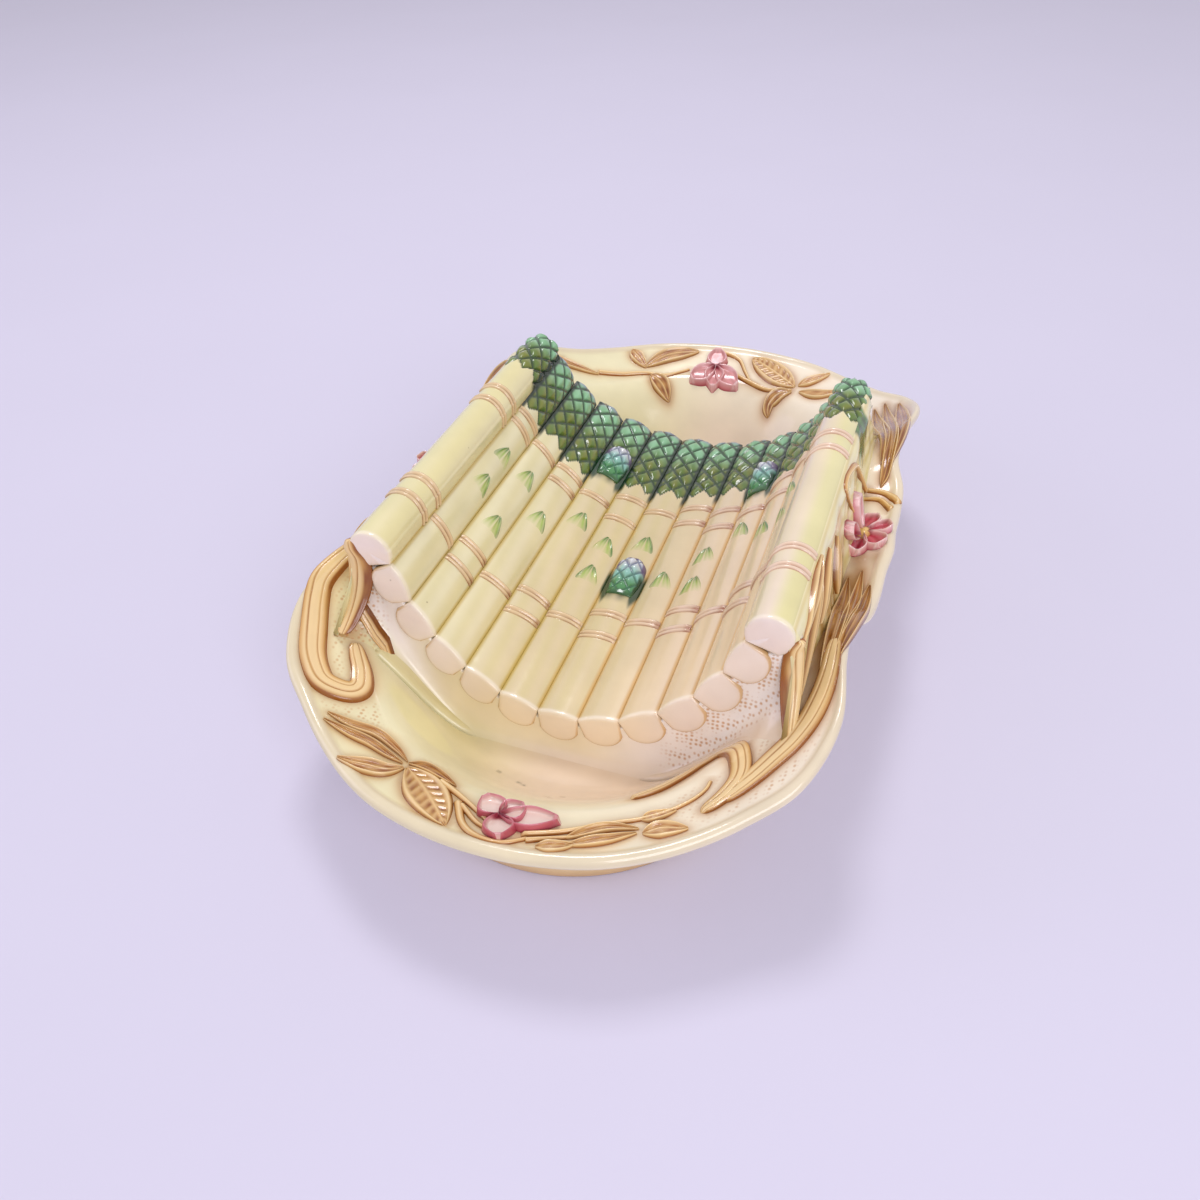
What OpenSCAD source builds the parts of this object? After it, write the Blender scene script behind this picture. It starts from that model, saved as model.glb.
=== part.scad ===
// Asparagus cradle dish in glazed earthenware. A scalloped dish with a raised lip carries a
// hollow cradle whose bed is laid with thirteen asparagus spears, and moulded flowers, leaves
// and straps are stuck on its flange. The origin is on the table under the middle of the dish,
// X runs across the spears, Y runs from the cut ends to the tips, and Z is up.

/* [Dish] */
// Length over the front and back lips
dish_len = 370; // [350:2:390]
// Width over the side lobes
dish_w = 225; // [215:1:240]
// Height of the lip above the table at the two ends
end_lip_h = 50.5; // [48:0.5:56]
// Height of the lip above the table at the four corners
corner_lip_h = 74; // [70:0.5:80]
// Thickness of the dish wall
wall_t = 6; // [5:0.25:7]
// Thickness of the rolled lip
lip_t = 5.5; // [4.5:0.25:6.5]

/* [Foot] */
// Length of the foot ring
foot_len = 316; // [300:2:324]
// Width of the foot ring
foot_w = 150; // [144:1:156]
// Height of the foot ring
foot_h = 7; // [5:0.5:9]
// Width of the clay in the foot ring
foot_ring_w = 7; // [5:0.5:8]

/* [Cradle bed] */
// Distance of the butt ends from the middle of the dish, on the centre line
bed_front = 107; // [104:0.5:110]
// Distance of the last groove ends from the middle of the dish, on the centre line
bed_back = 93.7; // [90:0.5:97]
// How far the outermost butts stand back from the middle ones
front_bow = 10; // [6:0.5:12]
// How far the outermost tips stand back from the middle ones
back_bow = 17; // [12:0.5:18]
// Radius of the bed, measured to the grooves between spears
bed_r = 74; // [72:0.5:75]
// Height of the axis of the bed above the table, at the butts
bed_axis_h = 106.5; // [106:0.5:110]
// How much higher the axis lies at the tips
bed_rise = 5.2; // [3:0.2:7]
// Angle from the middle of the bed to its outermost groove, at the butts
bed_half_angle = 73.3; // [71:0.1:74]
// Thickness of the slab that carries the spears
slab_t = 4; // [3:0.25:5]
// Thickness of the end walls and flanks of the cradle
skirt_t = 4.5; // [3.5:0.25:5]
// Half width of the cradle where its flanks meet the dish
flank_foot_x = 93; // [91:0.5:95]
// How far the front wall flares forward at its corners
front_flare = 13; // [8:0.5:15]
// How far the back wall flares backward at its corners
back_flare = 9; // [6:0.5:12]
// How far the back wall stands in from the ends of the grooves
back_inset = 5.5; // [5:0.5:8]

/* [Spears] */
// Height of the crown of a spear above its grooves
crown_h = 2.25; // [1.5:0.25:3.5]
// Depth of a spear below its grooves
spear_t = 4; // [3.5:0.25:5]
// Thickness of the round butt plate
butt_t = 2.5; // [2:0.25:4]
// Depth of the butt plate below the grooves
butt_drop = 13.5; // [12:0.25:14]
// Length of the scaled tip
tip_len = 34; // [28:1:40]
// How far a tip reaches past the end of its grooves
tip_over = 8; // [6:0.5:10]
// Radius of the two spears on the ridges
ridge_r = 9; // [8.5:0.25:9.5]
// Distance of a ridge spear's centre outside the groove circle
ridge_out = 7.3; // [6.5:0.1:8]
// Angle from the outermost groove to a ridge spear's centre
ridge_angle = 4.7; // [4.2:0.1:5.2]

/* [Ties, bracts and short tips] */
// Width of a binding
tie_w = 4.6; // [3.6:0.2:5.4]
// Height of a binding
tie_h = 1; // [0.6:0.1:1.4]
// Length of a bract
bract_len = 15; // [12:1:18]
// Width of a bract
bract_w = 9.5; // [7:0.5:10.5]
// Thickness of a bract
bract_h = 1.1; // [0.7:0.1:1.5]
// Length of a short tip
short_tip_len = 25; // [20:1:28]
// Width of a short tip
short_tip_w = 15; // [12:0.5:15.5]
// Height of a short tip
short_tip_h = 4; // [3:0.25:5]

/* [Ornament on the flange] */
// Width of a strap leaf
strap_w = 9; // [7:0.5:10]
// Height of a strap leaf
strap_h = 2.6; // [1.8:0.2:3.2]
// Width of a stem
stem_w = 3.4; // [2.6:0.2:4]
// Height of a stem
stem_h = 2; // [1.4:0.2:2.6]
// Height of a leaf at its rib
leaf_h = 2.4; // [1.6:0.2:3]
// Radius of the flowers on the two sides
side_flower_r = 12.5; // [10:0.5:13]
// Width of a side flower as a share of its length
flower_squash = 0.72; // [0.6:0.02:0.74]
// Radius of the flowers on the two ends
end_flower_r = 12.5; // [10:0.5:13]
// Height of a flower
flower_h = 5; // [4:0.25:6]

/* [Clearances] */
// Slip joint between two pieces of clay
slip = 0.3; // [0.2:0.05:0.4]
// Slip joint between the curved dish and what stands on it
dish_slip = 0.6; // [0.5:0.05:0.7]

/* [Hidden] */

half_l = dish_len / 2;
half_w = dish_w / 2;
floor_h = foot_h + wall_t;
spear_count = 13;
middle_spear = (spear_count + 1) / 2;
front_pitch = bed_half_angle / (middle_spear - 3 / 2);
back_pitch_share = 0.953;
bed_w = bed_r * sin(bed_half_angle);

// Outline of the dish in one quarter, from the side to the end at equal steps of angle:
// the share by which the lobes stand outside or inside a plain oval
lobe_shares = [1, 0.994, 1.003, 1.009, 0.991, 1.038, 1.135, 1.156, 1.111, 1.071, 1.039, 1.011, 1];
// Rise of the lip from its end height to its corner height at the same steps
lip_rise_shares = [0.646, 0.6, 0.561, 0.677, 0.903, 1, 0.844, 0.498, 0.193, 0.043, 0.01, 0, 0];
// Share of the lip radius at which the flange turns down, at the side, corner and end
well_top_shares = [0.805, 0.81, 0.875];
// Share of the lip radius at which the well is flat, at the side, corner and end
well_floor_shares = [0.625, 0.585, 0.665];
// Inward fall of the flange
flange_slope_share = 0.3;
// Where the rolled lip starts and where it is highest, inward from the rim, as shares of lip_t
lip_start_share = 1.1;
lip_top_share = 0.5;
// Opening in the floor under the cradle, as shares of the foot's half width and half length
opening_shares = [0.77, 0.52];
section_step = 5;

function lerp(a, b, t) = a + (b - a) * t;
function ease(t) = let(c = min(1, max(0, t))) c * c * (3 - 2 * c);
function flatten(lists) = [for (list = lists) for (item = list) item];

// Places of pieces, as shares of the half width and half length of the dish, become points
function spots(shares) = [for (p = shares) [p.x * half_w, p.y * half_l]];

// Value at an angle from a table of one quarter, by a cubic through its neighbours
function fold(a) = let(b = abs(a) % 180) b > 90 ? 180 - b : b;
function quarter_at(table, a) = let(
    last = len(table) - 1,
    q = fold(a) / 90 * last,
    i = min(floor(q), last - 1),
    f = q - i,
    p0 = table[abs(i - 1)],
    p1 = table[i],
    p2 = table[i + 1],
    p3 = table[i + 2 > last ? 2 * last - i - 2 : i + 2])
    p1 + f / 2 * (p2 - p0 + f * (2 * p0 - 5 * p1 + 4 * p2 - p3 + f * (3 * (p1 - p2) + p3 - p0)));

// Value at an angle from its values at the side, the corner and the end
function around(three, a) = let(c = cos(2 * a), even = (three[0] + three[2]) / 2)
    three[1] + (even - three[1]) * c * c + (three[0] - three[2]) / 2 * c;

// Upper surface of the dish: a flange that falls inward, then an eased wall down to the floor
function rim_r(a) = quarter_at(lobe_shares, a) / norm([cos(a) / half_w, sin(a) / half_l]);
function lip_z(a) = lerp(end_lip_h, corner_lip_h, quarter_at(lip_rise_shares, a));
function polar_z(a, r) = let(
    rim = rim_r(a),
    s = r / rim,
    top = around(well_top_shares, a),
    low = around(well_floor_shares, a),
    flange_z = lip_z(a) - flange_slope_share * rim * (1 - max(s, top)))
    lerp(flange_z, floor_h, ease((top - s) / (top - low)));
function lip_in_r(a) = rim_r(a) - lip_t * lip_start_share;
function dish_z(x, y) = let(
    a = atan2(y, x),
    r = norm([x, y]),
    r0 = lip_in_r(a))
    r <= r0 ? polar_z(a, r) : min(lip_z(a), lerp(polar_z(a, r0), lip_z(a),
        (r - r0) / lip_t / (lip_start_share - lip_top_share)));
function under_z(a, r) = let(
    e = wall_t / 4,
    slope = (polar_z(a, r + e) - polar_z(a, r - e)) / (2 * e))
    max(foot_h, polar_z(a, r) - wall_t * norm([1, slope]));

// Radius of the foot ring's outline, a strip with round ends, drawn in by inset
function foot_r(a, inset) = let(
    w = foot_w / 2 - inset,
    off = (foot_len - foot_w) / 2,
    c = abs(cos(a)),
    s = abs(sin(a)))
    w * s <= off * c ? w / c : off * s + sqrt(w * w - off * off * c * c);

// Section of the dish at an angle, as radius and height: up the well and the flange, over the
// rolled lip, down the outside to the foot, and back under the well to the opening
function dish_section(a) = let(
    rim = rim_r(a),
    lip = lip_z(a),
    top = around(well_top_shares, a) * rim,
    low = around(well_floor_shares, a) * rim,
    opening = 1 / norm([cos(a) / opening_shares[0] / foot_w, sin(a) / opening_shares[1] / foot_len]) / 2,
    foot_out = foot_r(a, 0),
    foot_in = foot_r(a, foot_ring_w),
    recess = foot_in - foot_ring_w / 3,
    under = min(low, recess - foot_ring_w / 2),
    lip_in = lip_in_r(a),
    tuck = rim - lip_t * 0.7,
    tuck_z = lip - lip_t * 1.1)
    concat(
        [for (r = [opening, low]) [r, polar_z(a, r)]],
        [for (k = [1 : 9]) let(r = lerp(low, top, k / 9)) [r, polar_z(a, r)]],
        [for (r = [(top + lip_in) / 2, lip_in]) [r, polar_z(a, r)]],
        [[rim - lip_t * lip_top_share, lip], [rim, lip - lip_t * 0.45], [rim - lip_t * 0.2, lip - lip_t * 0.9]],
        [for (k = [3 : -1 : 1]) [lerp(foot_out, tuck, pow(k / 3, 1.8)), lerp(foot_h, tuck_z, k / 3)]],
        [[foot_out, foot_h], [foot_in, foot_h]],
        [for (k = [0 : 2]) let(r = lerp(recess, under, k / 2)) [r, k == 2 ? foot_h : under_z(a, r)]],
        [[opening, foot_h]]);

// Bed of the cradle: a place along Y as a share, the groove circle's axis and the spear pitch
function bed_share(y) = (y + bed_front) / (bed_front + bed_back);
function axis_z(y) = bed_axis_h + bed_rise * bed_share(y);
function pitch(y) = front_pitch * lerp(1, back_pitch_share, bed_share(y));
function bed_point(angle, r, y) = [r * sin(angle), y, axis_z(y) - r * cos(angle)];
function spear_x(i) = bed_r * sin((i - middle_spear) * front_pitch);
function bow(x) = pow(min(abs(x), spear_x(spear_count)) / bed_w, 2);
function front_y(x) = -bed_front + front_bow * bow(x);
function back_y(x) = bed_back - back_bow * bow(x);

// A point on spear i at y: u runs from -1 to 1 across it, h is the height over its grooves
function spear_angle(i, y, u) = (i - middle_spear) * pitch(y)
    + u * (pitch(y) / 2 - slip / 2 / bed_r * 180 / PI);
function spear_point(i, y, u, h) = bed_point(spear_angle(i, y, u), bed_r - h, y);
function crown(u) = crown_h * (1 - pow(abs(u), 2.4));

// Centre of the right ridge spear at y, and a point at an angle round it, kept clear of the
// last spear of the bed
function ridge_centre(y) =
    bed_point(pitch(y) * (middle_spear - 3 / 2) + ridge_angle, bed_r + ridge_out, y);
function ridge_point(y, turn, r, fall) = let(
    c = ridge_centre(y),
    x = c.x + r * cos(turn),
    z = c.z + r * sin(turn) - fall,
    least = pitch(y) * (middle_spear - 3 / 2) + slip / 2 / bed_r * 180 / PI,
    angle = max(least, atan2(x, axis_z(y) - z)))
    bed_point(angle, norm([x, axis_z(y) - z]), y);

// Solid through loops of points: each loop runs counterclockwise as seen from the first loop
// towards the last, and a ladder of faces closes the two ends
module loft(loops) {
    n = len(loops[0]);
    m = len(loops);
    side = [for (k = [0 : m - 2]) for (i = [0 : n - 1]) let(
        a = k * n + i, b = k * n + (i + 1) % n) each [[a, b, b + n], [a, b + n, a + n]]];
    first = [for (i = [0 : n / 2 - 2]) each [[i + 1, i, n - 2 - i], [n - 2 - i, i, n - 1 - i]]];
    o = (m - 1) * n;
    last = [for (i = [0 : n / 2 - 2]) each
        [[o + i, o + i + 1, o + n - 2 - i], [o + i, o + n - 2 - i, o + n - 1 - i]]];
    polyhedron(points = flatten(loops), faces = concat(side, first, last));
}

// Solid of loops that run round and meet again
module ring_loft(loops) {
    n = len(loops[0]);
    m = len(loops);
    polyhedron(points = flatten(loops), faces = [for (k = [0 : m - 1]) for (i = [0 : n - 1]) let(
        a = k * n + i, b = k * n + (i + 1) % n,
        c = (k + 1) % m * n + (i + 1) % n, d = (k + 1) % m * n + i) each [[a, c, b], [a, d, c]]]);
}

module dish() {
    color("#E6D8B0")
        ring_loft([for (a = [0 : section_step : 360 - section_step])
            [for (p = dish_section(a)) [p[0] * cos(a), p[0] * sin(a), p[1]]]]);
}

module foot_outline(inset) {
    off = (foot_len - foot_w) / 2;
    for (s = [-1, 1])
        translate([0, s * off]) circle(r = foot_w / 2 - inset, $fn = 96);
    square([foot_w - 2 * inset, 2 * off], center = true);
}

module foot_ring() {
    color("#D9C6A0")
        linear_extrude(foot_h)
            difference() {
                foot_outline(0);
                foot_outline(foot_ring_w);
            }
}

// The slab ends where it would touch the ridge spears
slab_r = bed_r + spear_t + slip;
function slab_end(y) = pitch(y) * (middle_spear - 3 / 2) + ridge_angle
    - asin((ridge_r + slip) / bed_r);
wall_steps = 18;

module bed_slab() {
    color("#DCC9A2")
        loft([for (k = [wall_steps : -1 : -wall_steps]) let(
            share = k / wall_steps,
            x = bed_r * sin(slab_end(0) * share))
            [for (q = [[-1, 0], [-1, slab_t], [1, slab_t], [1, 0]]) let(
                wide = x * (slab_r + q[1]) / slab_r,
                y = q[0] < 0 ? front_y(wide) + butt_t + skirt_t + 2 * slip
                    : back_y(wide) - back_inset - skirt_t - slip)
                bed_point(slab_end(y) * share, slab_r + q[1], y)]]);
}

// Profile of the cradle's skirt from its top edge down to the dish, as shares of its width
// outward and of its flare
skirt_out_shares = [0, 0.45, 0.75, 1];
skirt_flare_shares = [0, 0, 0.4, 1];
skirt_cover = butt_drop - spear_t + slab_t;

// Top edge of an end wall on the right side: along the slab, then under the ridge spear
ridge_turns = [-105, -85, -65, -45, -25, -5, 0];
ridge_skin = skirt_t / 3;
function under_ridge(y, turn, skin = 0) =
    ridge_centre(y) + (ridge_r + slip + skin) * [cos(turn), 0, sin(turn)];
function edge_point(y, k) = k <= wall_steps
    ? bed_point(slab_end(y) * k / wall_steps, slab_r, y)
    : under_ridge(y, ridge_turns[k - wall_steps - 1], ridge_turns[k - wall_steps - 1] == 0 ? ridge_skin : 0);

// Rows of an end wall under one point of its top edge; dir is -1 at the front and 1 at the back
function wall_rows(top, dir, flare, depth) = let(
    last = edge_point(top.y, wall_steps + len(ridge_turns)),
    foot_x = top.x * flank_foot_x / last.x,
    reach = flare * foot_x * foot_x / flank_foot_x / flank_foot_x,
    foot_y = top.y + dir * (reach - depth),
    foot_z = dish_z(foot_x, foot_y) + dish_slip + 2 * slip,
    low = max(foot_z + skirt_t / 4, top.z - skirt_cover))
    [for (j = [0 : 3]) [lerp(top.x, foot_x, skirt_out_shares[j]),
        top.y + dir * (reach * skirt_flare_shares[j] - depth),
        j == 0 ? top.z : lerp(low, foot_z, j == 1 ? 0 : j == 2 ? 1 / 2 : 1)]];

function end_wall_loop(k, dir, flare) = let(
    x = abs(k) > wall_steps ? bed_r : bed_r * sin(slab_end(0) * k / wall_steps),
    y = dir < 0 ? front_y(x) + butt_t + slip : back_y(x) - back_inset,
    top = edge_point(y, abs(k)),
    outer = wall_rows(top, dir, flare, 0),
    inner = wall_rows(top, dir, flare, skirt_t),
    both = concat(outer, [for (j = [3 : -1 : 0]) inner[j]]))
    [for (p = both) [k < 0 ? -p.x : p.x, p.y, p.z]];

module end_wall(dir, flare) {
    last = wall_steps + len(ridge_turns);
    loops = [for (k = [-last : last]) end_wall_loop(k, dir, flare)];
    loft(dir > 0 ? loops : [for (k = [2 * last : -1 : 0]) loops[k]]);
}

module front_wall() {
    color("#DFC9AC") end_wall(-1, front_flare);
}

module back_wall() {
    color("#DFC9AC") end_wall(1, back_flare);
}

flank_steps = 20;

module flank() {
    turns = [-75, -50, -25, 0];
    y0 = front_y(bed_r) + butt_t + skirt_t + 2 * slip;
    y1 = back_y(bed_r) - back_inset - skirt_t - slip;
    loft([for (k = [0 : flank_steps]) let(
        y = lerp(y0, y1, k / flank_steps),
        seat = [for (turn = turns) under_ridge(y, turn)],
        outer_top = under_ridge(y, 0, ridge_skin),
        outer_z = dish_z(flank_foot_x, y) + dish_slip,
        inner_x = flank_foot_x - skirt_t,
        inner_z = dish_z(inner_x, y) + dish_slip,
        low_z = seat[0].z - skirt_t,
        mid_z = (low_z + outer_z) / 2)
        [[inner_x, y, inner_z],
            [flank_foot_x, y, outer_z],
            [lerp(outer_top.x, flank_foot_x, skirt_out_shares[2]), y, mid_z],
            [lerp(outer_top.x, flank_foot_x, skirt_out_shares[1]), y, low_z],
            outer_top,
            seat[3], seat[2], seat[1], seat[0],
            [lerp(seat[0].x, inner_x, skirt_out_shares[2]), y, mid_z]]]);
}

module right_flank() {
    color("#E6DDB0") flank();
}

module left_flank() {
    color("#E6DDB0") mirror([1, 0, 0]) flank();
}

// Loop round a spear of the bed at y: across the crown, then back underneath. The depth is
// taken at its middle and shoulder, grow widens it, and fall lowers it as a whole
crown_shares = [1, 0.55, 0, -0.55, -1];
function spear_loop(i, y, middle, shoulder, grow, fall, bowed = false) = let(
    rows = concat(
        [for (u = crown_shares) [u * grow, crown(u) * grow - fall]],
        [for (u = [-1, -0.6, 0, 0.6, 1])
            [u * grow, -lerp(shoulder, middle, sqrt(1 - u * u)) - fall]]))
    [for (p = rows) let(shift = bowed
        ? front_y(bed_r * sin(spear_angle(i, y, p[0]))) - front_y(spear_x(i)) : 0)
        spear_point(i, y + shift, p[0], p[1])];
function ridge_loop(y, grow, fall) =
    [for (turn = [-72 : 36 : 252]) ridge_point(y, turn, ridge_r * grow, fall)];

// Stations along a spear: y from its two ends, and its size and fall near the tip, where
// the nose draws in and rolls down
tip_size_shares = [1, 1, 1, 0.97, 0.86, 0.6];
tip_fall_shares = [0, 0, 0, 0.2, 0.5, 0.8];
tip_place_shares = [0, 0.4, 0.68, 0.84, 0.95, 1];
tip_fall = crown_h + spear_t / 2;
butt_edge = butt_t / 5;

function tip_y(i, j) = back_y(spear_x(i)) + tip_over - tip_len * (1 - tip_place_shares[j]);

module bed_spear(i) {
    y0 = front_y(spear_x(i));
    loft(concat(
        [spear_loop(i, y0, butt_drop - butt_edge, butt_drop * 0.45, 0.94, 0, true),
            spear_loop(i, y0 + butt_edge, butt_drop, butt_drop * 0.45, 1, 0, true),
            spear_loop(i, y0 + butt_t - butt_edge, butt_drop, butt_drop * 0.45, 1, 0, true),
            spear_loop(i, y0 + butt_t, spear_t, spear_t, 1, 0, true)],
        [spear_loop(i, (y0 + tip_y(i, 0)) / 2, spear_t, spear_t, 1, 0)],
        [for (j = [0 : 5]) let(t = tip_size_shares[j])
            spear_loop(i, tip_y(i, j), spear_t * t, spear_t * t, t, tip_fall * tip_fall_shares[j])]));
}

module ridge_spear() {
    x = spear_x(spear_count);
    y0 = front_y(x);
    loft(concat(
        [ridge_loop(y0, 0.94, 0), ridge_loop(y0 + butt_edge, 1, 0),
            ridge_loop((y0 + tip_y(spear_count, 0)) / 2, 1, 0)],
        [for (j = [0 : 5]) ridge_loop(tip_y(spear_count, j), tip_size_shares[j],
            tip_fall * tip_fall_shares[j])]));
}

module spear(i) {
    color(i < middle_spear ? "#DED8A0" : "#E6D3AC")
        if (i == 1)
            mirror([1, 0, 0]) ridge_spear();
        else if (i == spear_count)
            ridge_spear();
        else
            bed_spear(i);
}

// Ties: where each spear is bound, as shares of the length of the bed from its butts
front_tie_shares = [[0.2, 0.26], [0.225], [0.2, 0.265], [0.24], [0.21, 0.275], [0.255],
    [0.235, 0.305], [0.29], [0.26, 0.325], [0.285], [0.255, 0.31], [0.28], [0.2, 0.26]];
back_tie_shares = [[0.59, 0.645], [0.63, 0.675], [0.655], [0.615, 0.668], [0.65],
    [0.615, 0.7], [0.68], [0.65, 0.71], [0.62, 0.685], [0.645], [0.64, 0.705], [0.68],
    [0.61, 0.67]];

module bed_tie(i, y) {
    rise = tie_h + slip / 3;
    loft([for (u = crown_shares) let(high = crown(u) + rise, low = crown(u) + slip / 3)
        [spear_point(i, y - tie_w / 2, u, low), spear_point(i, y + tie_w / 2, u, low),
            spear_point(i, y + tie_w / 2, u, high), spear_point(i, y - tie_w / 2, u, high)]]);
}

module ridge_tie(y) {
    low = ridge_r + slip / 3;
    loft([for (turn = [0 : 36 : 180]) [ridge_point(y - tie_w / 2, turn, low, 0),
        ridge_point(y + tie_w / 2, turn, low, 0),
        ridge_point(y + tie_w / 2, turn, low + tie_h, 0),
        ridge_point(y - tie_w / 2, turn, low + tie_h, 0)]]);
}

module ties(table_shares) {
    color("#B98A5E")
        for (i = [1 : spear_count])
            for (share = table_shares[i - 1]) {
                y = lerp(-bed_front, bed_back, share);
                if (i == 1)
                    mirror([1, 0, 0]) ridge_tie(y);
                else if (i == spear_count)
                    ridge_tie(y);
                else
                    bed_tie(i, y);
            }
}

module front_ties() {
    ties(front_tie_shares);
}

module back_ties() {
    ties(back_tie_shares);
}

// A small bract on spear i with its point towards the tips, at a share of the bed's length
bract_half_shares = [0.55, 1, 0.9, 0.55, 0.12];
module bract(i, share) {
    y0 = lerp(-bed_front, bed_back, share);
    spear_half = pitch(y0) / 2 * PI / 180 * bed_r;
    loft([for (k = [0 : 4]) let(
        y = y0 + bract_len * k / 4,
        half = bract_w / 2 / spear_half * bract_half_shares[k],
        rise = bract_h * lerp(1, 1 / 3, k / 4),
        lift = slip / 3)
        [spear_point(i, y, half, crown(half) + lift), spear_point(i, y, half, crown(half) + lift + rise / 2),
            spear_point(i, y, 0, crown_h + lift + rise), spear_point(i, y, -half, crown(half) + lift + rise / 2),
            spear_point(i, y, -half, crown(half) + lift), spear_point(i, y, 0, crown_h + lift)]]);
}

// Each bract by its spear and its place along the bed
left_bract_places = [[2, 0.36], [2, 0.47], [3, 0.31], [3, 0.49], [4, 0.42], [5, 0.5]];
middle_bract_places = [[6, 0.46], [7, 0.5], [8, 0.38], [9, 0.46], [6, 0.355]];
right_bract_places = [[9, 0.355], [10, 0.52], [11, 0.46], [12, 0.43], [12, 0.53]];

module bracts(places) {
    color("#9DB86E")
        for (p = places)
            bract(p[0], p[1]);
}

module left_bracts() {
    bracts(left_bract_places);
}

module middle_bracts() {
    bracts(middle_bract_places);
}

module right_bracts() {
    bracts(right_bract_places);
}

// A short tip that lies on a spear: it starts flush with the spear, swells and ends in a
// round nose; its stations give its half width and its height as shares
short_half_shares = [0.8, 0.96, 1, 0.95, 0.8, 0.45];
short_rise_shares = [0.25, 0.6, 0.9, 1, 0.85, 0.4];
short_place_shares = [0, 0.3, 0.6, 0.8, 0.93, 1];
module short_tip(i, share) {
    y0 = lerp(-bed_front, bed_back, share);
    spear_half = pitch(y0) / 2 * PI / 180 * bed_r;
    lift = slip;
    color("#4E8F6C")
        loft([for (k = [0 : 5]) let(
            y = y0 + short_tip_len * short_place_shares[k],
            half = min(1, short_tip_w / 2 / spear_half) * short_half_shares[k],
            rise = short_tip_h * short_rise_shares[k])
            concat(
                [for (u = [1, 0.6, 0, -0.6, -1]) spear_point(i, y, u * half,
                    crown(u * half) + lift + rise * lerp(0.15, 1, sqrt(1 - u * u)))],
                [for (u = [-1, -0.6, 0, 0.6, 1]) spear_point(i, y, u * half, crown(u * half) + lift)])]);
}

module left_short_tip() {
    short_tip(5, 0.735);
}

module middle_short_tip() {
    short_tip(7, 0.37);
}

module right_short_tip() {
    short_tip(10, 0.715);
}

// Ornament on the dish. A point stands at a height over the dish's upper surface
function on_dish(p, h) = [p.x, p.y, dish_z(p.x, p.y) + dish_slip + h];

// Smooth path through a few points, steps per span, by a cubic through neighbours
function path_end(points, i) = i < 0 ? 2 * points[0] - points[1]
    : i >= len(points) ? 2 * points[len(points) - 1] - points[len(points) - 2] : points[i];
function path_point(points, q) = let(
    i = min(floor(q), len(points) - 2), f = q - i,
    p0 = path_end(points, i - 1), p1 = points[i], p2 = points[i + 1], p3 = path_end(points, i + 2))
    p1 + f / 2 * (p2 - p0 + f * (2 * p0 - 5 * p1 + 4 * p2 - p3 + f * (3 * (p1 - p2) + p3 - p0)));
function smooth_path(points, steps) =
    [for (k = [0 : steps]) path_point(points, (len(points) - 1) * k / steps)];
function across(path, k) = let(
    d = path[min(k + 1, len(path) - 1)] - path[max(k - 1, 0)]) [-d.y, d.x] / norm(d);

// Share of full size along a piece that is slim at both ends or at one end only
function both_ends(t, least) = lerp(least, 1, pow(sin(180 * min(1, max(0, t))), 0.7));
function one_end(t, least) = lerp(least, 1, pow(cos(90 * t), 0.6));

// A strap leaf or stem along a path: two rounded ridges with a groove between them
strap_across_shares = [-1, -0.9, -0.5, 0, 0.5, 0.9, 1];
strap_rise_shares = [0.35, 0.6, 1, 0.7, 1, 0.6, 0.35];
module strap(path, w, h, least) {
    n = len(path) - 1;
    loft([for (k = [0 : n]) let(
        side = across(path, k) * w / 2 * both_ends(k / n, least),
        rise = h * both_ends(k / n, least))
        concat(
            [on_dish(path[k] - side, 0)],
            [for (j = [0, 2, 3, 4, 6])
                on_dish(path[k] + side * strap_across_shares[j], rise * strap_rise_shares[j])],
            [on_dish(path[k] + side, 0), on_dish(path[k], 0)])]);
}

module stem(path) {
    n = len(path) - 1;
    loft([for (k = [0 : n]) let(
        side = across(path, k) * stem_w / 2 * lerp(1, 0.6, k / n), rise = stem_h * lerp(1, 0.6, k / n))
        [on_dish(path[k] - side, 0), on_dish(path[k] - side / 2, rise),
            on_dish(path[k] + side / 2, rise), on_dish(path[k] + side, 0)]]);
}

// A leaf along a path, pointed at its end, with a raised rib; belly is where it is widest
module leaf(path, w, belly) {
    n = len(path) - 1;
    loft([for (k = [0 : n]) let(
        t = k / n,
        share = t < belly ? lerp(0.3, 1, sin(90 * t / belly))
            : lerp(0.22, 1, cos(90 * (t - belly) / (1 - belly))),
        side = across(path, k) * w / 2 * share,
        rise = leaf_h * lerp(0.4, 1, share))
        [on_dish(path[k] - side, 0), on_dish(path[k] - side, rise / 3), on_dish(path[k], rise),
            on_dish(path[k] + side, rise / 3), on_dish(path[k] + side, 0), on_dish(path[k], 0)]]);
}

// A flower of petals round a middle: rings of points from its seat over its petals inward
module flower(middle, r, petals, turn, notch, open, squash) {
    points = petals * 4;
    function edge(j, share) = let(petal = lerp(notch, 1, pow(abs(sin(45 * j)), 0.6)))
        r * share * lerp(1, petal, min(1, max(0, 2 * share - 0.5)));
    function ring(share, h) = [for (j = [points - 1 : -1 : 0]) let(a = turn + 360 * j / points)
        on_dish(middle + edge(j, share) * [squash * cos(a), sin(a)], h)];
    color("#C9657A")
        loft([ring(0.2, 0), ring(0.6, 0), ring(1, 0), ring(1, flower_h * 0.35),
            ring(0.72, flower_h * open), ring(0.34, flower_h * 0.45), ring(0.24, flower_h),
            ring(0.12, flower_h)]);
}

// Flowers: middles as shares of the half width and half length
right_flower_share = [0.912, 0.06];
left_flower_share = [-0.912, -0.01];
front_flower_share = [0.08, -0.905];
back_flower_share = [-0.075, 0.895];

module right_flower() {
    flower(spots([right_flower_share])[0], side_flower_r, 6, 20, 0.62, 0.75, flower_squash);
}

module left_flower() {
    flower(spots([left_flower_share])[0], side_flower_r, 6, 50, 0.62, 0.75, flower_squash);
}

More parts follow.
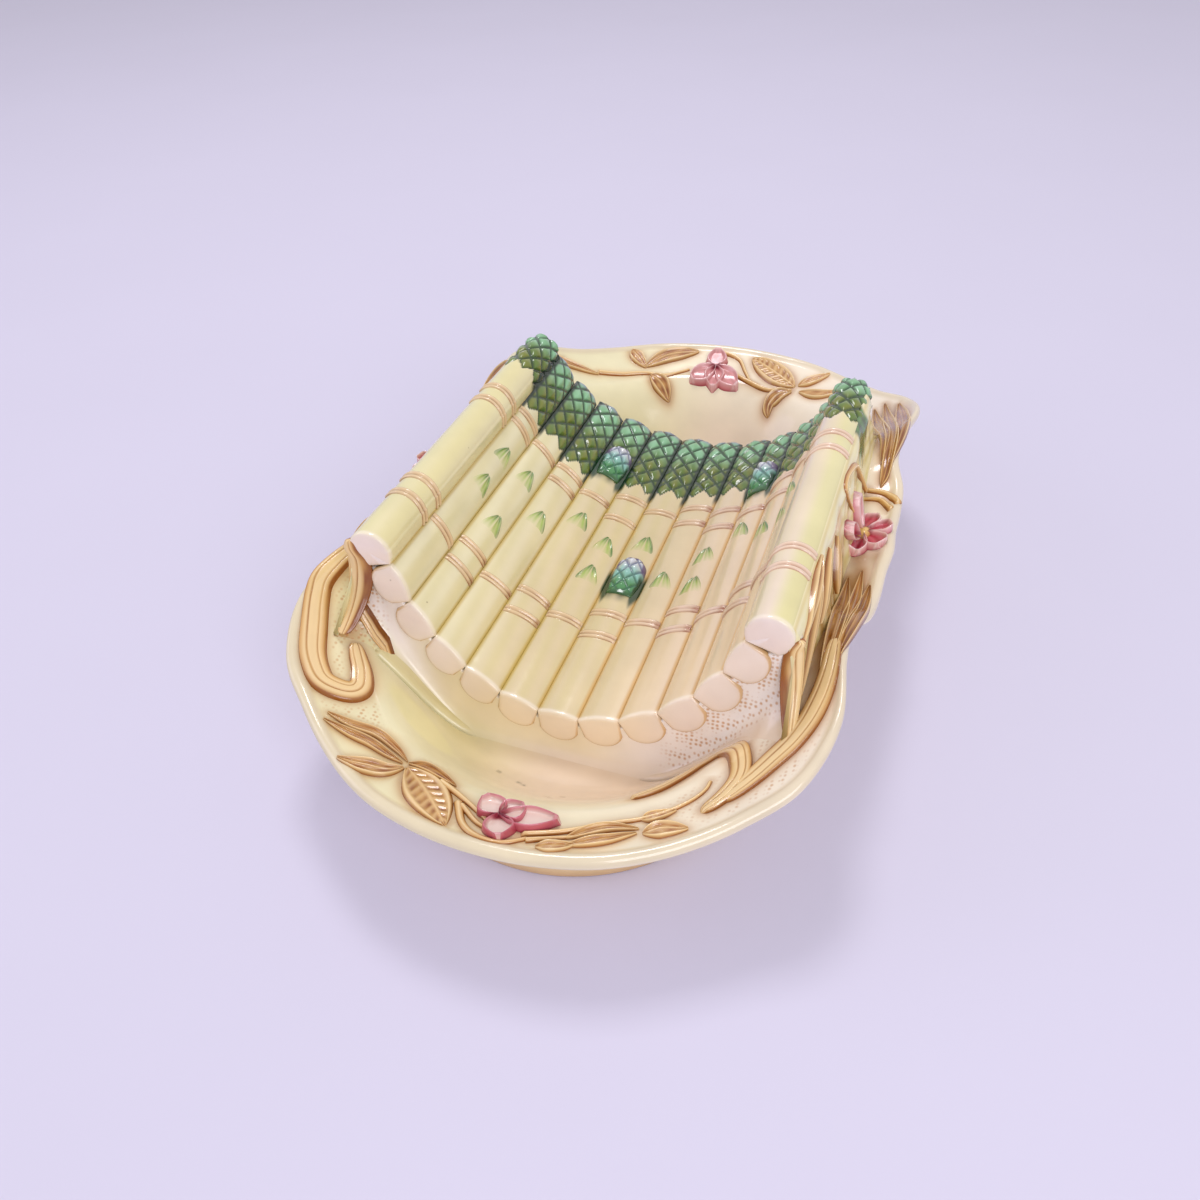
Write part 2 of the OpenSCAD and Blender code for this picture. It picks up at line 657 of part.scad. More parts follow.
module front_flower() {
    flower(spots([front_flower_share])[0], end_flower_r, 5, 55, 0.55, 0.8, 1);
}

module back_flower() {
    flower(spots([back_flower_share])[0], end_flower_r, 5, 235, 0.55, 0.8, 1);
}

// Sprays of leaves on the two ends: each leaf by its path, its width and its belly
leaf_steps = 6;
front_leaf_shares = [
    [[[-0.37, -0.835], [-0.55, -0.8], [-0.72, -0.79]], 0.11, 0.45],
    [[[-0.39, -0.865], [-0.444, -0.88], [-0.533, -0.878]], 0.08, 0.4],
    [[[-0.34, -0.875], [-0.24, -0.92], [-0.1, -0.955]], 0.13, 0.45],
    [[[-0.31, -0.845], [-0.22, -0.85], [-0.12, -0.865]], 0.07, 0.4]];
back_leaf_shares = [
    [[[0.34, 0.87], [0.22, 0.91], [0.09, 0.945]], 0.12, 0.45],
    [[[0.33, 0.84], [0.22, 0.84], [0.12, 0.835]], 0.07, 0.4],
    [[[0.4, 0.84], [0.48, 0.8], [0.6, 0.785]], 0.08, 0.4],
    [[[0.4, 0.875], [0.5, 0.885], [0.587, 0.868]], 0.08, 0.4]];

module leaves(table_shares) {
    color("#B9863F")
        for (row = table_shares)
            leaf(smooth_path(spots(row[0]), leaf_steps), row[1] * half_w, row[2]);
}

module front_leaf_spray() {
    leaves(front_leaf_shares);
}

module back_leaf_spray() {
    leaves(back_leaf_shares);
}

// Sprays of buds: plump short leaves on the far side of each end flower
front_bud_shares = [
    [[[0.235, -0.93], [0.3, -0.905], [0.38, -0.87]], 0.075, 0.5],
    [[[0.25, -0.87], [0.32, -0.845], [0.4, -0.815]], 0.065, 0.5],
    [[[0.44, -0.852], [0.53, -0.832], [0.62, -0.8]], 0.085, 0.45]];
back_bud_shares = [
    [[[-0.24, 0.9], [-0.3, 0.915], [-0.4, 0.925]], 0.09, 0.5],
    [[[-0.24, 0.85], [-0.28, 0.82], [-0.33, 0.785]], 0.08, 0.5],
    [[[-0.33, 0.875], [-0.41, 0.87], [-0.5, 0.85]], 0.07, 0.5]];

module front_bud_spray() {
    leaves(front_bud_shares);
}

module back_bud_spray() {
    leaves(back_bud_shares);
}

// Straps: broad grooved leaves that sweep along the flange from the flanks of the cradle
strap_steps = 14;
left_hook_path_shares = [[-0.87, -0.44], [-0.925, -0.55], [-0.907, -0.627],
    [-0.818, -0.708], [-0.72, -0.746], [-0.656, -0.728], [-0.652, -0.665], [-0.7, -0.6]];
right_long_path_shares = [[0.892, -0.405], [0.89, -0.486], [0.872, -0.56], [0.835, -0.612],
    [0.79, -0.65]];
right_loop_path_shares = [[0.4, -0.755], [0.453, -0.716], [0.5, -0.665], [0.535, -0.615],
    [0.59, -0.588], [0.645, -0.602], [0.682, -0.64], [0.698, -0.69], [0.672, -0.74], [0.625, -0.785]];

module grooved_strap(path_shares, size_share) {
    color("#B9803C")
        strap(smooth_path(spots(path_shares), strap_steps), strap_w * size_share, strap_h, 0.5);
}

module left_hook_strap() {
    grooved_strap(left_hook_path_shares, 1);
}

module right_loop_strap() {
    grooved_strap(right_loop_path_shares, 0.8);
}

module right_long_strap() {
    grooved_strap(right_long_path_shares, 0.9);
}

// Blades on the sides and sheaves at the back corners: upright leaves side by side
right_blade_shares = [
    [[[0.871, -0.335], [0.88, -0.216], [0.867, -0.092]], 0.062, 0.4],
    [[[0.93, -0.26], [0.935, -0.2], [0.945, -0.14]], 0.045, 0.4]];
left_blade_shares = [
    [[[-0.871, -0.335], [-0.88, -0.216], [-0.867, -0.12]], 0.062, 0.4],
    [[[-0.93, -0.26], [-0.935, -0.2], [-0.945, -0.15]], 0.045, 0.4]];
right_sheaf_shares = [
    [[[0.88, 0.24], [0.875, 0.38], [0.862, 0.51]], 0.062, 0.5],
    [[[0.79, 0.465], [0.782, 0.54], [0.729, 0.632]], 0.062, 0.5],
    [[[0.898, 0.54], [0.871, 0.611], [0.809, 0.676]], 0.055, 0.5],
    [[[0.69, 0.66], [0.62, 0.71], [0.53, 0.745]], 0.07, 0.5]];
left_sheaf_shares = [
    [[[-0.88, 0.2], [-0.875, 0.34], [-0.862, 0.47]], 0.062, 0.5],
    [[[-0.79, 0.465], [-0.782, 0.54], [-0.729, 0.6]], 0.062, 0.5],
    [[[-0.907, 0.605], [-0.809, 0.686], [-0.622, 0.73]], 0.075, 0.5]];

module right_side_blades() {
    leaves(right_blade_shares);
}

module left_side_blades() {
    leaves(left_blade_shares);
}

module right_back_sheaf() {
    leaves(right_sheaf_shares);
}

module left_back_sheaf() {
    leaves(left_sheaf_shares);
}

// Stems that tie the flowers and sprays together
stem_steps = 5;
stem_path_shares = [
    [[0.94, 0.155], [0.91, 0.19], [0.865, 0.2]],
    [[-0.94, 0.085], [-0.91, 0.12], [-0.865, 0.13]]];

module flower_stems() {
    color("#B9863F")
        for (row = stem_path_shares)
            stem(smooth_path(spots(row), stem_steps));
}

dish();
foot_ring();
bed_slab();
front_wall();
back_wall();
left_flank();
right_flank();
spear(1);  // spear_01
spear(2);  // spear_02
spear(3);  // spear_03
spear(4);  // spear_04
spear(5);  // spear_05
spear(6);  // spear_06
spear(7);  // spear_07
spear(8);  // spear_08
spear(9);  // spear_09
spear(10);  // spear_10
spear(11);  // spear_11
spear(12);  // spear_12
spear(13);  // spear_13
front_ties();
back_ties();
left_bracts();
middle_bracts();
right_bracts();
left_short_tip();
middle_short_tip();
right_short_tip();
right_flower();
left_flower();
front_flower();
back_flower();
front_leaf_spray();
front_bud_spray();
back_leaf_spray();
back_bud_spray();
left_hook_strap();
right_loop_strap();
right_long_strap();
right_side_blades();
left_side_blades();
right_back_sheaf();
left_back_sheaf();
flower_stems();
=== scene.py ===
import bpy
import numpy as np
from mathutils import Matrix, Vector


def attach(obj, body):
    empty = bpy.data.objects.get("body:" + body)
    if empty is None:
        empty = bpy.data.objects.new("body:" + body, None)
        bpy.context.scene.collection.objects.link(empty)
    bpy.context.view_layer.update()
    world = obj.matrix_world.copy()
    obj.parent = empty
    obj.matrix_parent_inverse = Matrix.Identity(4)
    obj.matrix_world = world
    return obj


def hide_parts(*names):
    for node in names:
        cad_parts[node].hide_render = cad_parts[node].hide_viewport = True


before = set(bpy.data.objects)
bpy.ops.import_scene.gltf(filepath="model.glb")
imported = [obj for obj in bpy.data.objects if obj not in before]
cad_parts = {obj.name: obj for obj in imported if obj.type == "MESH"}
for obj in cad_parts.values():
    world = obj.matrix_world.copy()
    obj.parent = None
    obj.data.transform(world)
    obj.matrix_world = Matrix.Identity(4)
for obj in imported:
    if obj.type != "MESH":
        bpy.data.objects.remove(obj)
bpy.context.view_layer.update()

# Dish. Cream lead glaze over buff earthenware, press-moulded in one with its rolled lip and
# wells. Brown washes lie where sprigs were stuck on, and dots are punched in the flange.
DISH_LEN, DISH_W = 370.0, 225.0
END_LIP, CORNER_LIP = 50.5, 74.0
WALL, LIP, FOOT_H, FOOT_RING = 6.0, 5.5, 7.0, 7.0
FOOT_LEN, FOOT_W = 316.0, 150.0
OPENING = (0.77, 0.52)
LOBES = np.array([1, 0.994, 1.003, 1.009, 0.991, 1.038, 1.135,
                  1.156, 1.111, 1.071, 1.039, 1.011, 1])
LIP_RISE = np.array([0.646, 0.6, 0.561, 0.677, 0.903, 1, 0.844,
                     0.498, 0.193, 0.043, 0.01, 0, 0])
WELL_TOP, WELL_FLOOR = (0.805, 0.81, 0.875), (0.625, 0.585, 0.665)
FLANGE_SLOPE, LIP_FROM, LIP_RUN = 0.3, 1.1, 0.6
HALF = np.array([DISH_W / 2, DISH_LEN / 2])

# Every sprig by node: its kind, its path in shares of the half width and half length, its
# width in mm and how brown its glaze is.
SPRIGS = {
    "left_hook_strap": [
        ("strap", [(-0.885, -0.39), (-0.915, -0.466), (-0.93, -0.524), (-0.916, -0.567),
                   (-0.885, -0.619), (-0.843, -0.677), (-0.799, -0.712), (-0.756, -0.731),
                   (-0.705, -0.731), (-0.662, -0.719), (-0.651, -0.696), (-0.677, -0.662),
                   (-0.719, -0.63), (-0.75, -0.605)], 10.5, 0.6)],
    "right_loop_strap": [
        ("strap", [(0.38, -0.765), (0.453, -0.716), (0.5, -0.665), (0.535, -0.615),
                   (0.59, -0.588), (0.645, -0.602), (0.682, -0.64), (0.698, -0.69),
                   (0.672, -0.74), (0.622, -0.787)], 9.0, 0.7)],
    "right_long_strap": [
        ("strap", [(0.885, -0.38), (0.89, -0.486), (0.872, -0.56), (0.835, -0.612),
                   (0.785, -0.655), (0.73, -0.705), (0.67, -0.755)], 10.0, 0.6)],
    "front_leaf_spray": [
        ("leaf", [(-0.682, -0.795), (-0.592, -0.797), (-0.499, -0.791), (-0.412, -0.81),
                  (-0.35, -0.833)], 4.8, 0.5),
        ("leaf", [(-0.677, -0.815), (-0.58, -0.82), (-0.498, -0.822), (-0.421, -0.834),
                  (-0.36, -0.842)], 4.8, 0.7),
        ("leaf", [(-0.547, -0.895), (-0.456, -0.885), (-0.393, -0.876),
                  (-0.345, -0.852)], 9.0, 0.6),
        ("leaf", [(-0.34, -0.847), (-0.25, -0.885), (-0.17, -0.925),
                  (-0.1, -0.965)], 16.5, 0.75),
        ("leaf", [(-0.347, -0.836), (-0.286, -0.832), (-0.217, -0.842),
                  (-0.155, -0.856)], 4.6, 0.8),
        ("stem", [(-0.214, -0.855), (-0.134, -0.874), (-0.052, -0.9),
                  (0.029, -0.929)], 3.0, 0.4),
        ("stem", [(-0.118, -0.893), (-0.058, -0.946), (0.012, -0.968), (0.09, -0.965),
                  (0.155, -0.937)], 3.4, 0.6),
        ("stem", [(-0.1, -0.9), (-0.015, -0.935), (0.05, -0.944)], 2.6, 0.6)],
    "front_bud_spray": [
        ("stem", [(0.125, -0.933), (0.234, -0.901), (0.312, -0.87), (0.377, -0.845),
                  (0.446, -0.823), (0.512, -0.794), (0.573, -0.757), (0.606, -0.724),
                  (0.613, -0.696)], 2.6, 0.35),
        ("stem", [(0.151, -0.945), (0.215, -0.925), (0.283, -0.905)], 2.6, 0.6),
        ("leaf", [(0.26, -0.915), (0.317, -0.882), (0.374, -0.86), (0.46, -0.85)], 5.6, 0.5),
        ("leaf", [(0.27, -0.935), (0.336, -0.91), (0.394, -0.89), (0.46, -0.862)], 5.2, 0.4),
        ("leaf", [(0.19, -0.955), (0.239, -0.945), (0.3, -0.925)], 6.4, 0.2),
        ("leaf", [(0.475, -0.862), (0.53, -0.842), (0.605, -0.832)], 9.0, 0.3),
        ("leaf", [(0.45, -0.825), (0.487, -0.81), (0.545, -0.785)], 5.6, 0.3)],
    "back_leaf_spray": [
        ("leaf", [(0.345, 0.846), (0.253, 0.885), (0.156, 0.925), (0.085, 0.95)], 15.0, 0.7),
        ("leaf", [(0.338, 0.825), (0.274, 0.811), (0.24, 0.787), (0.248, 0.758)], 9.0, 0.8),
        ("leaf", [(0.358, 0.851), (0.418, 0.872), (0.5, 0.9)], 6.5, 0.35),
        ("leaf", [(0.371, 0.825), (0.472, 0.812), (0.575, 0.82)], 6.5, 0.35),
        ("stem", [(-0.002, 0.881), (0.116, 0.85), (0.218, 0.828), (0.335, 0.834)], 3.2, 0.8),
        ("stem", [(-0.109, 0.945), (-0.05, 0.955), (0.023, 0.938), (0.07, 0.896),
                  (0.113, 0.856)], 2.8, 0.4)],
    "back_bud_spray": [
        ("leaf", [(-0.433, 0.832), (-0.358, 0.892), (-0.269, 0.927),
                  (-0.195, 0.945)], 10.0, 0.7),
        ("leaf", [(-0.391, 0.805), (-0.317, 0.786), (-0.263, 0.758)], 10.5, 0.8),
        ("leaf", [(-0.531, 0.883), (-0.485, 0.859), (-0.425, 0.83)], 9.0, 0.5),
        ("stem", [(-0.633, 0.736), (-0.533, 0.769), (-0.42, 0.808), (-0.316, 0.82),
                  (-0.208, 0.869)], 3.0, 0.4)],
    "right_side_blades": [
        ("leaf", [(0.862, -0.1), (0.872, -0.25), (0.875, -0.4), (0.872, -0.5)], 7.5, 0.95),
        ("leaf", [(0.905, -0.08), (0.908, -0.2), (0.9, -0.32), (0.885, -0.44)], 5.6, 0.8),
        ("leaf", [(0.945, -0.13), (0.94, -0.238), (0.922, -0.36), (0.9, -0.47)], 6.4, 1.0)],
    "left_side_blades": [
        ("leaf", [(-0.862, -0.1), (-0.872, -0.22), (-0.875, -0.34), (-0.872, -0.43)], 7.0, 0.8),
        ("leaf", [(-0.94, -0.13), (-0.935, -0.238), (-0.925, -0.33),
                  (-0.915, -0.41)], 6.4, 0.8)],
    "right_back_sheaf": [
        ("leaf", [(0.8, 0.72), (0.843, 0.569), (0.885, 0.4), (0.895, 0.278),
                  (0.89, 0.234)], 7.0, 0.9),
        ("leaf", [(0.865, 0.69), (0.9, 0.55), (0.919, 0.42), (0.909, 0.284)], 7.5, 0.85),
        ("leaf", [(0.76, 0.7), (0.81, 0.55), (0.855, 0.42), (0.872, 0.29)], 6.5, 0.95),
        ("leaf", [(0.69, 0.66), (0.62, 0.71), (0.53, 0.745)], 6.0, 0.5)],
    "left_back_sheaf": [
        ("leaf", [(-0.88, 0.2), (-0.882, 0.34), (-0.87, 0.47), (-0.84, 0.58)], 6.5, 0.7),
        ("leaf", [(-0.925, 0.24), (-0.922, 0.38), (-0.905, 0.5), (-0.86, 0.62)], 6.5, 0.8),
        ("leaf", [(-0.79, 0.465), (-0.782, 0.54), (-0.729, 0.62)], 6.5, 0.6),
        ("leaf", [(-0.907, 0.605), (-0.809, 0.686), (-0.622, 0.73)], 7.0, 0.6)],
    "flower_stems": [
        ("stem", [(0.972, 0.18), (0.94, 0.205), (0.9, 0.22), (0.835, 0.226)], 3.6, 0.6),
        ("stem", [(0.95, 0.16), (0.9, 0.195), (0.835, 0.2)], 3.0, 0.7),
        ("stem", [(-0.972, 0.1), (-0.93, 0.125), (-0.835, 0.13)], 3.6, 0.5)],
}


def srgb(code):
    """Linear red, green and blue of a hex colour."""
    v = np.array([int(code[i:i + 2], 16) / 255 for i in (1, 3, 5)])
    return np.where(v <= 0.04045, v / 12.92, ((v + 0.055) / 1.055) ** 2.4)


def blend(a, b, t):
    """Colours a and b, each a hex code or a colour per point, mixed by t."""
    a, b = (srgb(each) if isinstance(each, str) else each for each in (a, b))
    return a + (b - a) * np.clip(t, 0, 1)[..., None]


def ease(t):
    """Smooth step: three t squared less two t cubed, held between 0 and 1."""
    t = np.clip(t, 0, 1)
    return t * t * (3 - 2 * t)


def cubic(p0, p1, p2, p3, f):
    """Value at share f of the way from p1 to p2, on the cubic through all four neighbours."""
    bend = 2 * p0 - 5 * p1 + 4 * p2 - p3 + f * (3 * (p1 - p2) + p3 - p0)
    return p1 + f / 2 * (p2 - p0 + f * bend)


def quarter(table, angle):
    """Value at an angle from a table over one quarter turn, by a cubic through neighbours."""
    last = len(table) - 1
    b = np.mod(np.abs(np.degrees(angle)), 180)
    q = np.where(b > 90, 180 - b, b) / 90 * last
    i = np.minimum(q.astype(int), last - 1)
    after = table[np.where(i + 2 > last, 2 * last - i - 2, i + 2)]
    return cubic(table[np.abs(i - 1)], table[i], table[i + 1], after, q - i)


def around(three, angle):
    """Value at an angle from those at the side, the corner and the end, as the square of the
    cosine of twice the angle, plus that cosine itself times half the ends' difference."""
    c = np.cos(2 * angle)
    mean, swing = (three[0] + three[2]) / 2, (three[0] - three[2]) / 2
    return three[1] + (mean - three[1]) * c * c + swing * c


def rim_r(a):
    """Rim radius: a plain oval times the lobes' share."""
    return quarter(LOBES, a) / np.hypot(np.cos(a) * 2 / DISH_W, np.sin(a) * 2 / DISH_LEN)


def lip_z(a):
    """Lip height: from the end height to the corner height by its share."""
    return END_LIP + (CORNER_LIP - END_LIP) * quarter(LIP_RISE, a)


def polar_z(a, r):
    """Upper surface of the dish: a sloped flange, then a smooth step down to the floor."""
    rim = rim_r(a)
    s, top, low = r / rim, around(WELL_TOP, a), around(WELL_FLOOR, a)
    flange = lip_z(a) - FLANGE_SLOPE * rim * (1 - np.maximum(s, top))
    return flange + (FOOT_H + WALL - flange) * ease((top - s) / (top - low))


def dish_z(x, y):
    """Upper surface at x and y, with the lip's rise beyond where the flange ends."""
    a, r = np.arctan2(y, x), np.hypot(x, y)
    r0 = rim_r(a) - LIP_FROM * LIP
    past = np.clip((r - r0) / LIP / LIP_RUN, 0, 1)
    inner = polar_z(a, np.minimum(r, r0))
    return inner + (lip_z(a) - inner) * past


def foot_r(a, inset):
    """Radius of a strip with round ends, drawn in by inset: half its width over the cosine
    along its sides, and the far crossing with the end's circle beyond them."""
    w, off = FOOT_W / 2 - inset, (FOOT_LEN - FOOT_W) / 2
    c, s = np.abs(np.cos(a)), np.abs(np.sin(a))
    return np.where(w * s <= off * c, w / np.maximum(c, 1e-9),
                    off * s + np.sqrt(np.maximum(w * w - off * off * c * c, 0)))


def surface(name, grid, paint, dots=None, ring=False):
    """Glazed piece through a grid of points in mm: columns always meet round each row, rows
    meet too if ring, and else each end row closes in a fan to its middle. Faces turn outward."""
    m, n = grid.shape[:2]
    verts = grid.reshape(-1, 3)
    colours = np.broadcast_to(paint, grid.shape).reshape(-1, 3)
    marks = np.zeros(m * n) if dots is None else np.broadcast_to(dots, (m, n)).reshape(-1)
    rows, cols = np.arange(m if ring else m - 1)[:, None], np.arange(n)[None, :]
    nxt, right = (rows + 1) % m, (cols + 1) % n
    quads = np.stack([rows * n + cols, rows * n + right, nxt * n + right, nxt * n + cols], -1)
    faces = [quads[..., half].reshape(-1, 3) for half in ([0, 1, 2], [0, 2, 3])]
    faces = np.concatenate(faces)
    if not ring:
        for first, base in ((True, 0), (False, (m - 1) * n)):
            row = np.arange(n)
            fan = np.stack([base + (row + 1) % n, base + row, np.full(n, len(verts))], -1)
            faces = np.concatenate([faces, fan if first else fan[:, ::-1]])
            verts = np.concatenate([verts, verts[base:base + n].mean(0)[None]])
            colours = np.concatenate([colours, colours[base:base + n].mean(0)[None]])
            marks = np.append(marks, marks[base:base + n].mean())
    a, b, c = verts[faces[:, 0]], verts[faces[:, 1]], verts[faces[:, 2]]
    if np.einsum("ij,ij->", a, np.cross(b, c)) < 0:
        faces = faces[:, ::-1]
    mesh = bpy.data.meshes.new(name)
    mesh.vertices.add(len(verts))
    mesh.vertices.foreach_set("co", (verts * 0.001).astype(np.float32).ravel())
    mesh.loops.add(faces.size)
    mesh.loops.foreach_set("vertex_index", faces.astype(np.int32).ravel())
    mesh.polygons.add(len(faces))
    mesh.polygons.foreach_set("loop_start", np.arange(0, faces.size, 3, dtype=np.int32))
    mesh.update(calc_edges=True)
    mesh.polygons.foreach_set("use_smooth", np.ones(len(faces), bool))
    layer = mesh.color_attributes.new("paint", "FLOAT_COLOR", "POINT")
    rgba = np.column_stack([colours, np.ones(len(colours))]).astype(np.float32)
    layer.data.foreach_set("color", rgba.ravel())
    marked = mesh.attributes.new("dots", "FLOAT", "POINT")
    marked.data.foreach_set("value", marks.astype(np.float32))
    mesh.materials.append(body_glaze)
    piece = bpy.data.objects.new(name, mesh)
    bpy.context.scene.collection.objects.link(piece)
    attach(piece, "root")
    return piece


def add(tree, kind, sockets=None, **settings):
    """One shader node with its settings; a socket given another socket is linked to it."""
    made = tree.nodes.new(kind)
    for key, value in settings.items():
        setattr(made, key, value)
    for key, value in (sockets or {}).items():
        if isinstance(value, bpy.types.NodeSocket):
            tree.links.new(value, made.inputs[key])
        else:
            made.inputs[key].default_value = value
    return made


def glazed_earthenware(name, roughness, ripple):
    """Lead glaze over painted earthenware. The brushed colour is the mesh's own paint,
    clouded over about 20 mm, with a brown pinhole in one of five 12 mm cells and dots 1.9 mm
    apart where the mesh says. Lead glass has an IOR near 1.6 and shines almost like water."""
    made = bpy.data.materials.new(name)
    made.use_nodes = True
    tree = made.node_tree
    tree.nodes.clear()
    place = add(tree, "ShaderNodeTexCoord").outputs["Object"]
    paint = add(tree, "ShaderNodeAttribute", attribute_name="paint").outputs["Color"]
    marks = add(tree, "ShaderNodeAttribute", attribute_name="dots").outputs["Fac"]
    cloud = add(tree, "ShaderNodeTexNoise", {"Vector": place, "Scale": 50.0, "Detail": 3.0})
    level = add(tree, "ShaderNodeMapRange", {"Value": cloud.outputs["Fac"], "From Min": 0.3,
                "From Max": 0.7, "To Min": 0.95, "To Max": 1.04}).outputs["Result"]
    clouded = add(tree, "ShaderNodeVectorMath", {0: paint, 3: level}, operation="SCALE").outputs[0]
    cells = add(tree, "ShaderNodeTexVoronoi", {"Vector": place, "Scale": 85.0})
    chance = add(tree, "ShaderNodeSeparateColor", {"Color": cells.outputs["Color"]}).outputs[0]
    few = add(tree, "ShaderNodeMath", {0: chance, 1: 0.82}, operation="GREATER_THAN").outputs[0]
    small = add(tree, "ShaderNodeMapRange", {"Value": cells.outputs["Distance"], "From Min": 0.02,
                "From Max": 0.05, "To Min": 0.6, "To Max": 0.0}).outputs["Result"]
    pin = add(tree, "ShaderNodeMath", {0: few, 1: small}, operation="MULTIPLY").outputs[0]
    speck = (*srgb("#6E5540"), 1)
    pinned = add(tree, "ShaderNodeMix", {0: pin, 6: clouded, 7: speck}, data_type="RGBA")
    punched = add(tree, "ShaderNodeTexVoronoi", {"Vector": place, "Scale": 520.0,
                                                 "Randomness": 0.3})
    dot = add(tree, "ShaderNodeMapRange", {"Value": punched.outputs["Distance"], "From Min": 0.15,
              "From Max": 0.45, "To Min": 1.0, "To Max": 0.0}).outputs["Result"]
    dot = add(tree, "ShaderNodeMath", {0: dot, 1: marks}, operation="MULTIPLY").outputs[0]
    tint = add(tree, "ShaderNodeMath", {0: dot, 1: 0.8}, operation="MULTIPLY").outputs[0]
    tan = (*srgb("#C48E58"), 1)
    dotted = add(tree, "ShaderNodeMix", {0: tint, 6: pinned.outputs[2], 7: tan}, data_type="RGBA")
    wave = add(tree, "ShaderNodeTexNoise", {"Vector": place, "Scale": 120.0, "Detail": 1.0})
    soft = add(tree, "ShaderNodeBump", {"Height": wave.outputs["Fac"], "Strength": 1.0,
                                        "Distance": ripple})
    pits = add(tree, "ShaderNodeBump", {"Height": dot, "Strength": 0.4, "Distance": 0.0002,
                                        "Normal": soft.outputs[0]}, invert=True)
    shader = add(tree, "ShaderNodeBsdfPrincipled", {
        "Base Color": dotted.outputs[2], "Roughness": roughness, "IOR": 1.55,
        "Normal": pits.outputs[0], "Coat Weight": 0.25, "Coat Roughness": 0.04})
    add(tree, "ShaderNodeOutputMaterial", {"Surface": shader.outputs[0]})
    return made


body_glaze = glazed_earthenware("cream glazed earthenware", 0.18, 0.00012)


def cubic_path(points, count):
    """Smooth line of count points through a few points, by a cubic through neighbours."""
    p = np.array(points, float)
    p = np.concatenate([2 * p[:1] - p[1:2], p, 2 * p[-1:] - p[-2:-1]])
    q = np.linspace(0, len(points) - 1, count)
    i = np.minimum(q.astype(int), len(points) - 2)
    return cubic(p[i], p[i + 1], p[i + 2], p[i + 3], (q - i)[:, None])


LEAF_WIDEST = 0.42
WASH_REACH = 2.2


def sprig_half(kind, t):
    """Half width of a sprig as a share: a leaf swells and is pointed at both ends, a strap
    narrows at its ends and a stem thins towards its end."""
    if kind == "leaf":
        swell = np.where(t < LEAF_WIDEST, np.sin(np.pi / 2 * t / LEAF_WIDEST),
                         np.cos(np.pi / 2 * (t - LEAF_WIDEST) / (1 - LEAF_WIDEST)))
        return 0.04 + 0.96 * np.clip(swell, 0, 1) ** 0.8
    if kind == "strap":
        round_end = np.sqrt(np.clip(1 - np.abs(2 * t - 1) ** 24, 0, 1))
        return (0.45 + 0.55 * np.sin(np.pi * t) ** 0.6) * round_end + 0.01
    return 0.6 + 0.4 * (1 - t)


def wash(x, y):
    """Brown glaze pooled round the sprigs: full at their edge and all but gone 5 mm from it,
    by a falling power of e."""
    best = np.zeros(x.shape)
    t = np.linspace(0, 1, 41)
    for sprays in SPRIGS.values():
        for kind, shares, width, brown in sprays:
            path = cubic_path(np.array(shares) * HALF, 41)
            lo, hi = path.min(0) - width, path.max(0) + width
            near = (x > lo[0]) & (x < hi[0]) & (y > lo[1]) & (y < hi[1])
            away = np.full(near.sum(), 1e9)
            for (px, py), half in zip(path, width / 2 * sprig_half(kind, t)):
                away = np.minimum(away, np.hypot(x[near] - px, y[near] - py) - half)
            stain = np.exp(-(np.maximum(away, 0) / WASH_REACH) ** 1.3)
            best[near] = np.maximum(best[near], (0.45 + 0.55 * brown) * stain)
    return best


def dish_grid(turns):
    """Closed section swept round. Its zones are 0 the well and flange, 1 the round lip, 2 the
    outer wall and 3 the heel and underside. Gives points, zones, shares of the rim, angles."""
    a = np.linspace(0, 2 * np.pi, turns, endpoint=False)[:, None]
    rim, lip = rim_r(a), lip_z(a)
    top, low = around(WELL_TOP, a) * rim, around(WELL_FLOOR, a) * rim
    hole = 0.5 / np.hypot(np.cos(a) / OPENING[0] / FOOT_W, np.sin(a) / OPENING[1] / FOOT_LEN)
    r_in = rim - LIP
    upper = np.concatenate([hole + (low - hole) * np.linspace(0, 1, 8)[None, :-1],
                            low + (top - low) * np.linspace(0, 1, 44)[None, :-1],
                            top + (r_in - top) * np.linspace(0, 1, 36)[None, :-1]], 1)
    upper_z = polar_z(a, upper)
    phi = np.radians(np.linspace(128, -62, 16))[None]
    bead = LIP / 2
    round_r, round_z = rim - bead + bead * np.cos(phi), lip - bead + bead * np.sin(phi)
    foot_out, foot_in = foot_r(a, 0), foot_r(a, FOOT_RING)
    k = np.linspace(1, 0, 16)[None, 1:]
    wall_r = foot_out + (round_r[:, -1:] - foot_out) * k ** 1.8
    wall_z = FOOT_H + (round_z[:, -1:] - FOOT_H) * k
    recess = foot_in - FOOT_RING / 3
    under = np.minimum(low, recess - FOOT_RING / 2)
    back_r = recess + (under - recess) * np.linspace(0, 1, 7)[None]
    back_r = np.concatenate([foot_in, back_r, hole], 1)
    step = WALL / 4
    slope = (polar_z(a, back_r + step) - polar_z(a, back_r - step)) / (2 * step)
    back_z = np.maximum(FOOT_H, polar_z(a, back_r) - WALL * np.hypot(1, slope))
    back_z[:, [0, -2, -1]] = FOOT_H
    strips = (upper, round_r, wall_r, back_r)
    r = np.concatenate(strips, 1)
    z = np.concatenate([upper_z, round_z, wall_z, back_z], 1)
    zone = np.repeat(range(4), [strip.shape[1] for strip in strips])
    points = np.stack([r * np.cos(a), r * np.sin(a), z], -1)
    return points, np.broadcast_to(zone, r.shape), r / rim, np.broadcast_to(a, r.shape)


